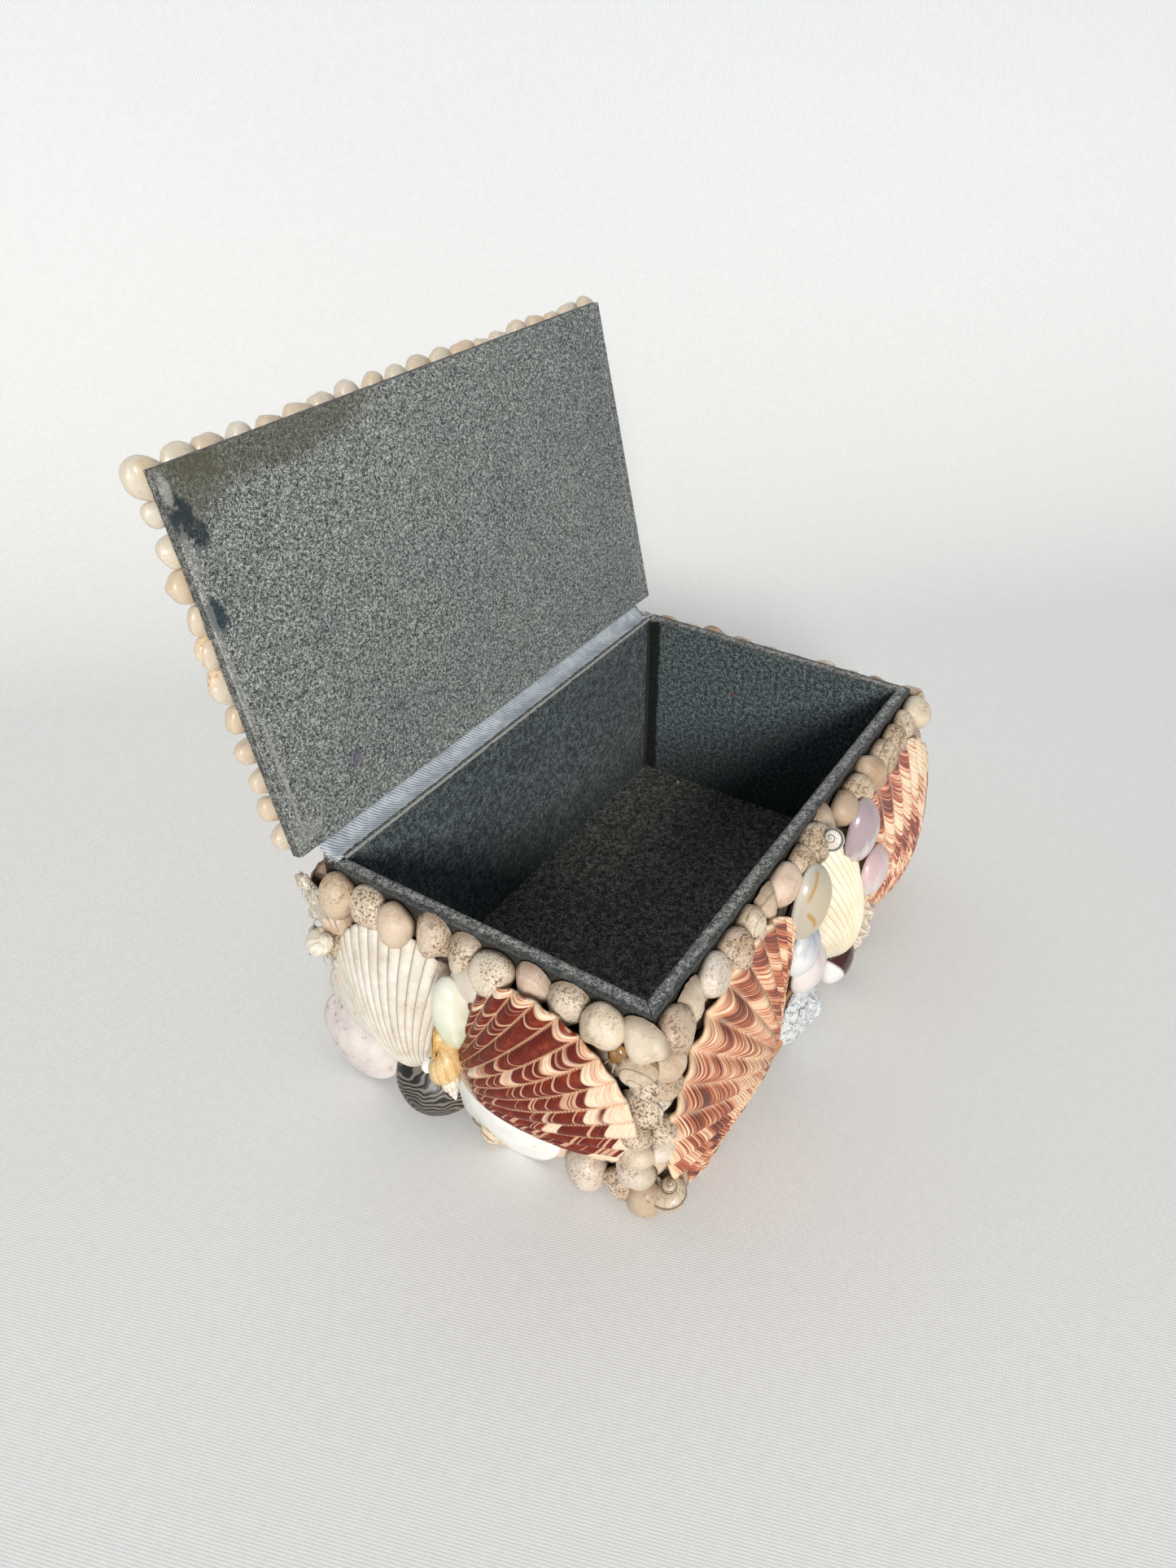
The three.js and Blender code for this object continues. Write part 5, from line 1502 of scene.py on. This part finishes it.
def strands(name, lines, finish):
    """Thin threads, each a round-sectioned tube through its points, tapering to its far end."""
    corners, sides_made = [], []
    sides = 5
    for points, radius in lines:
        first = len(corners)
        for number, point in enumerate(points):
            ahead = (points[min(number + 1, len(points) - 1)] - points[max(number - 1, 0)]).normalized()
            across = ahead.orthogonal().normalized()
            over = ahead.cross(across)
            size = radius * (1 - 0.6 * number / (len(points) - 1))
            for side in range(sides):
                turned = 2 * math.pi * side / sides
                corners.append(point + size * (math.cos(turned) * across + math.sin(turned) * over))
        for ring in range(len(points) - 1):
            for side in range(sides):
                start, after = first + ring * sides, (side + 1) % sides
                sides_made.append(
                    (start + side, start + after, start + sides + after, start + sides + side))
        sides_made.append(tuple(first + side for side in reversed(range(sides))))
        sides_made.append(tuple(first + (len(points) - 1) * sides + side for side in range(sides)))
    mesh = bpy.data.meshes.new(name)
    mesh.from_pydata(corners, [], sides_made)
    for face in mesh.polygons:
        face.use_smooth = True
    return link_piece(name, mesh, finish)


def sagging(start, end, sag, steps=8):
    """The points of a thread between two places, hanging by sag in its middle."""
    points = []
    for step in range(steps + 1):
        drop = -4 * sag * step / steps * (1 - step / steps)
        points.append(start.lerp(end, step / steps) + Vector((0, 0, drop)))
    return points


def on_left(along, up, off):
    """A place on the left wall, in millimetres along it, up it and off it."""
    return faces["left"][0] @ Vector((along * mm, up * mm, off * mm))


clear_glue = set_glue("clear_glue", (0.68, 0.60, 0.49), 0.28)
amber_glue = set_glue("amber_glue", (0.34, 0.17, 0.05), 0.12)
chances = random.Random(29)
threads_made = []
for number in range(26):
    start = on_left(chances.uniform(-54, -44), chances.uniform(42, 70), chances.uniform(3.5, 7.5))
    down = Vector((chances.uniform(-1, 1), chances.uniform(-4, 4), chances.uniform(-11, -4)))
    thread = sagging(start, start + down * mm, chances.uniform(0.2, 1.0) * mm)
    threads_made.append((thread, chances.uniform(0.14, 0.34) * mm))
for start, end, sag in (
    ((43.5, 60.5, 4.0), (39.0, 53.2, 6.5), 0.8), ((44.0, 61.0, 4.0), (42.5, 49.5, 6.5), 0.3),
    ((44.5, 60.5, 4.5), (49.0, 57.0, 5.5), 0.5),
):
    threads_made.append((sagging(on_left(*start), on_left(*end), sag * mm), 0.24 * mm))
glue_on(strands("glue_threads", threads_made, clear_glue), "box", "pearl_shell")
lumps = []
for number in range(11):
    spot = (chances.uniform(-0.53, -0.455), chances.uniform(0.56, 0.93))
    size = chances.uniform(4.0, 7.0) * mm
    lumps.append(domed(f"glue_lump_{number}", size, 0.7 * size, 0.45 * size, clear_glue,
        place_on("left", spot, chances.uniform(50, 130), 4.2 * mm), number, 0.2, 0.35, wrap=110,
        sides=28, rounds=10))
glue_on(as_one("glue_lumps", lumps), "box", "pearl_shell")
glue_on(
    domed("glue_drop", 6.5 * mm, 4.5 * mm, 2.6 * mm, amber_glue,
        place_on("left", (0.431, 0.825), 80, 2.8 * mm), 0.4, 0.08, wrap=110), "box", "amber_shell")
tape_blob = domed("glue_tape_end", 4.6 * mm, 3.6 * mm, 2.4 * mm, clear_glue,
    Matrix.Translation((0.0829, 0.0518, 0.0697)), 2.0, 0.15)
glue_on(tape_blob, "box", "pearl_shell")
tape_fibre = set_glue("tape_fibre", (0.74, 0.75, 0.75), 0.8)
frays = []
for side in (-1, 1):
    for number in range(22):
        start = Vector((side * 81.9, chances.uniform(47.6, 50.6), 72.0)) * mm
        out, back, lift = (chances.uniform(*reach) for reach in ((0.6, 2.4), (-0.8, 0.8), (-0.5, 0.12)))
        end = start + Vector((side * out, back, lift)) * mm
        frays.append((sagging(start, end, 0.05 * mm, 4), 0.09 * mm))
glue_on(strands("tape_frays", frays, tape_fibre), "box", "tape")

# Bits that lie in the box: a crumb of shell on the floor felt and a red fleck on the right wall.
crumb_place = Matrix.Translation((0.0769, 0.0299, 0.0061))
glue_on(
    domed("crumb_floor", 1.6 * mm, 1.1 * mm, 0.7 * mm, clear_glue, crumb_place, 1.0, 0.15, sides=16,
        rounds=6), "box", "cream_shell")
red_fleck = set_glue("red_fleck", (0.30, 0.03, 0.035), 0.7)
fleck_place = Matrix.Translation((0.08005, 0.0114, 0.0515)) @ Matrix.Rotation(-math.pi / 2, 4, "Y")
glue_on(
    domed("fleck_right", 1.3 * mm, 1.0 * mm, 0.2 * mm, red_fleck, fleck_place, 1.0, 0.15, sides=16,
        rounds=6), "box", "felt")
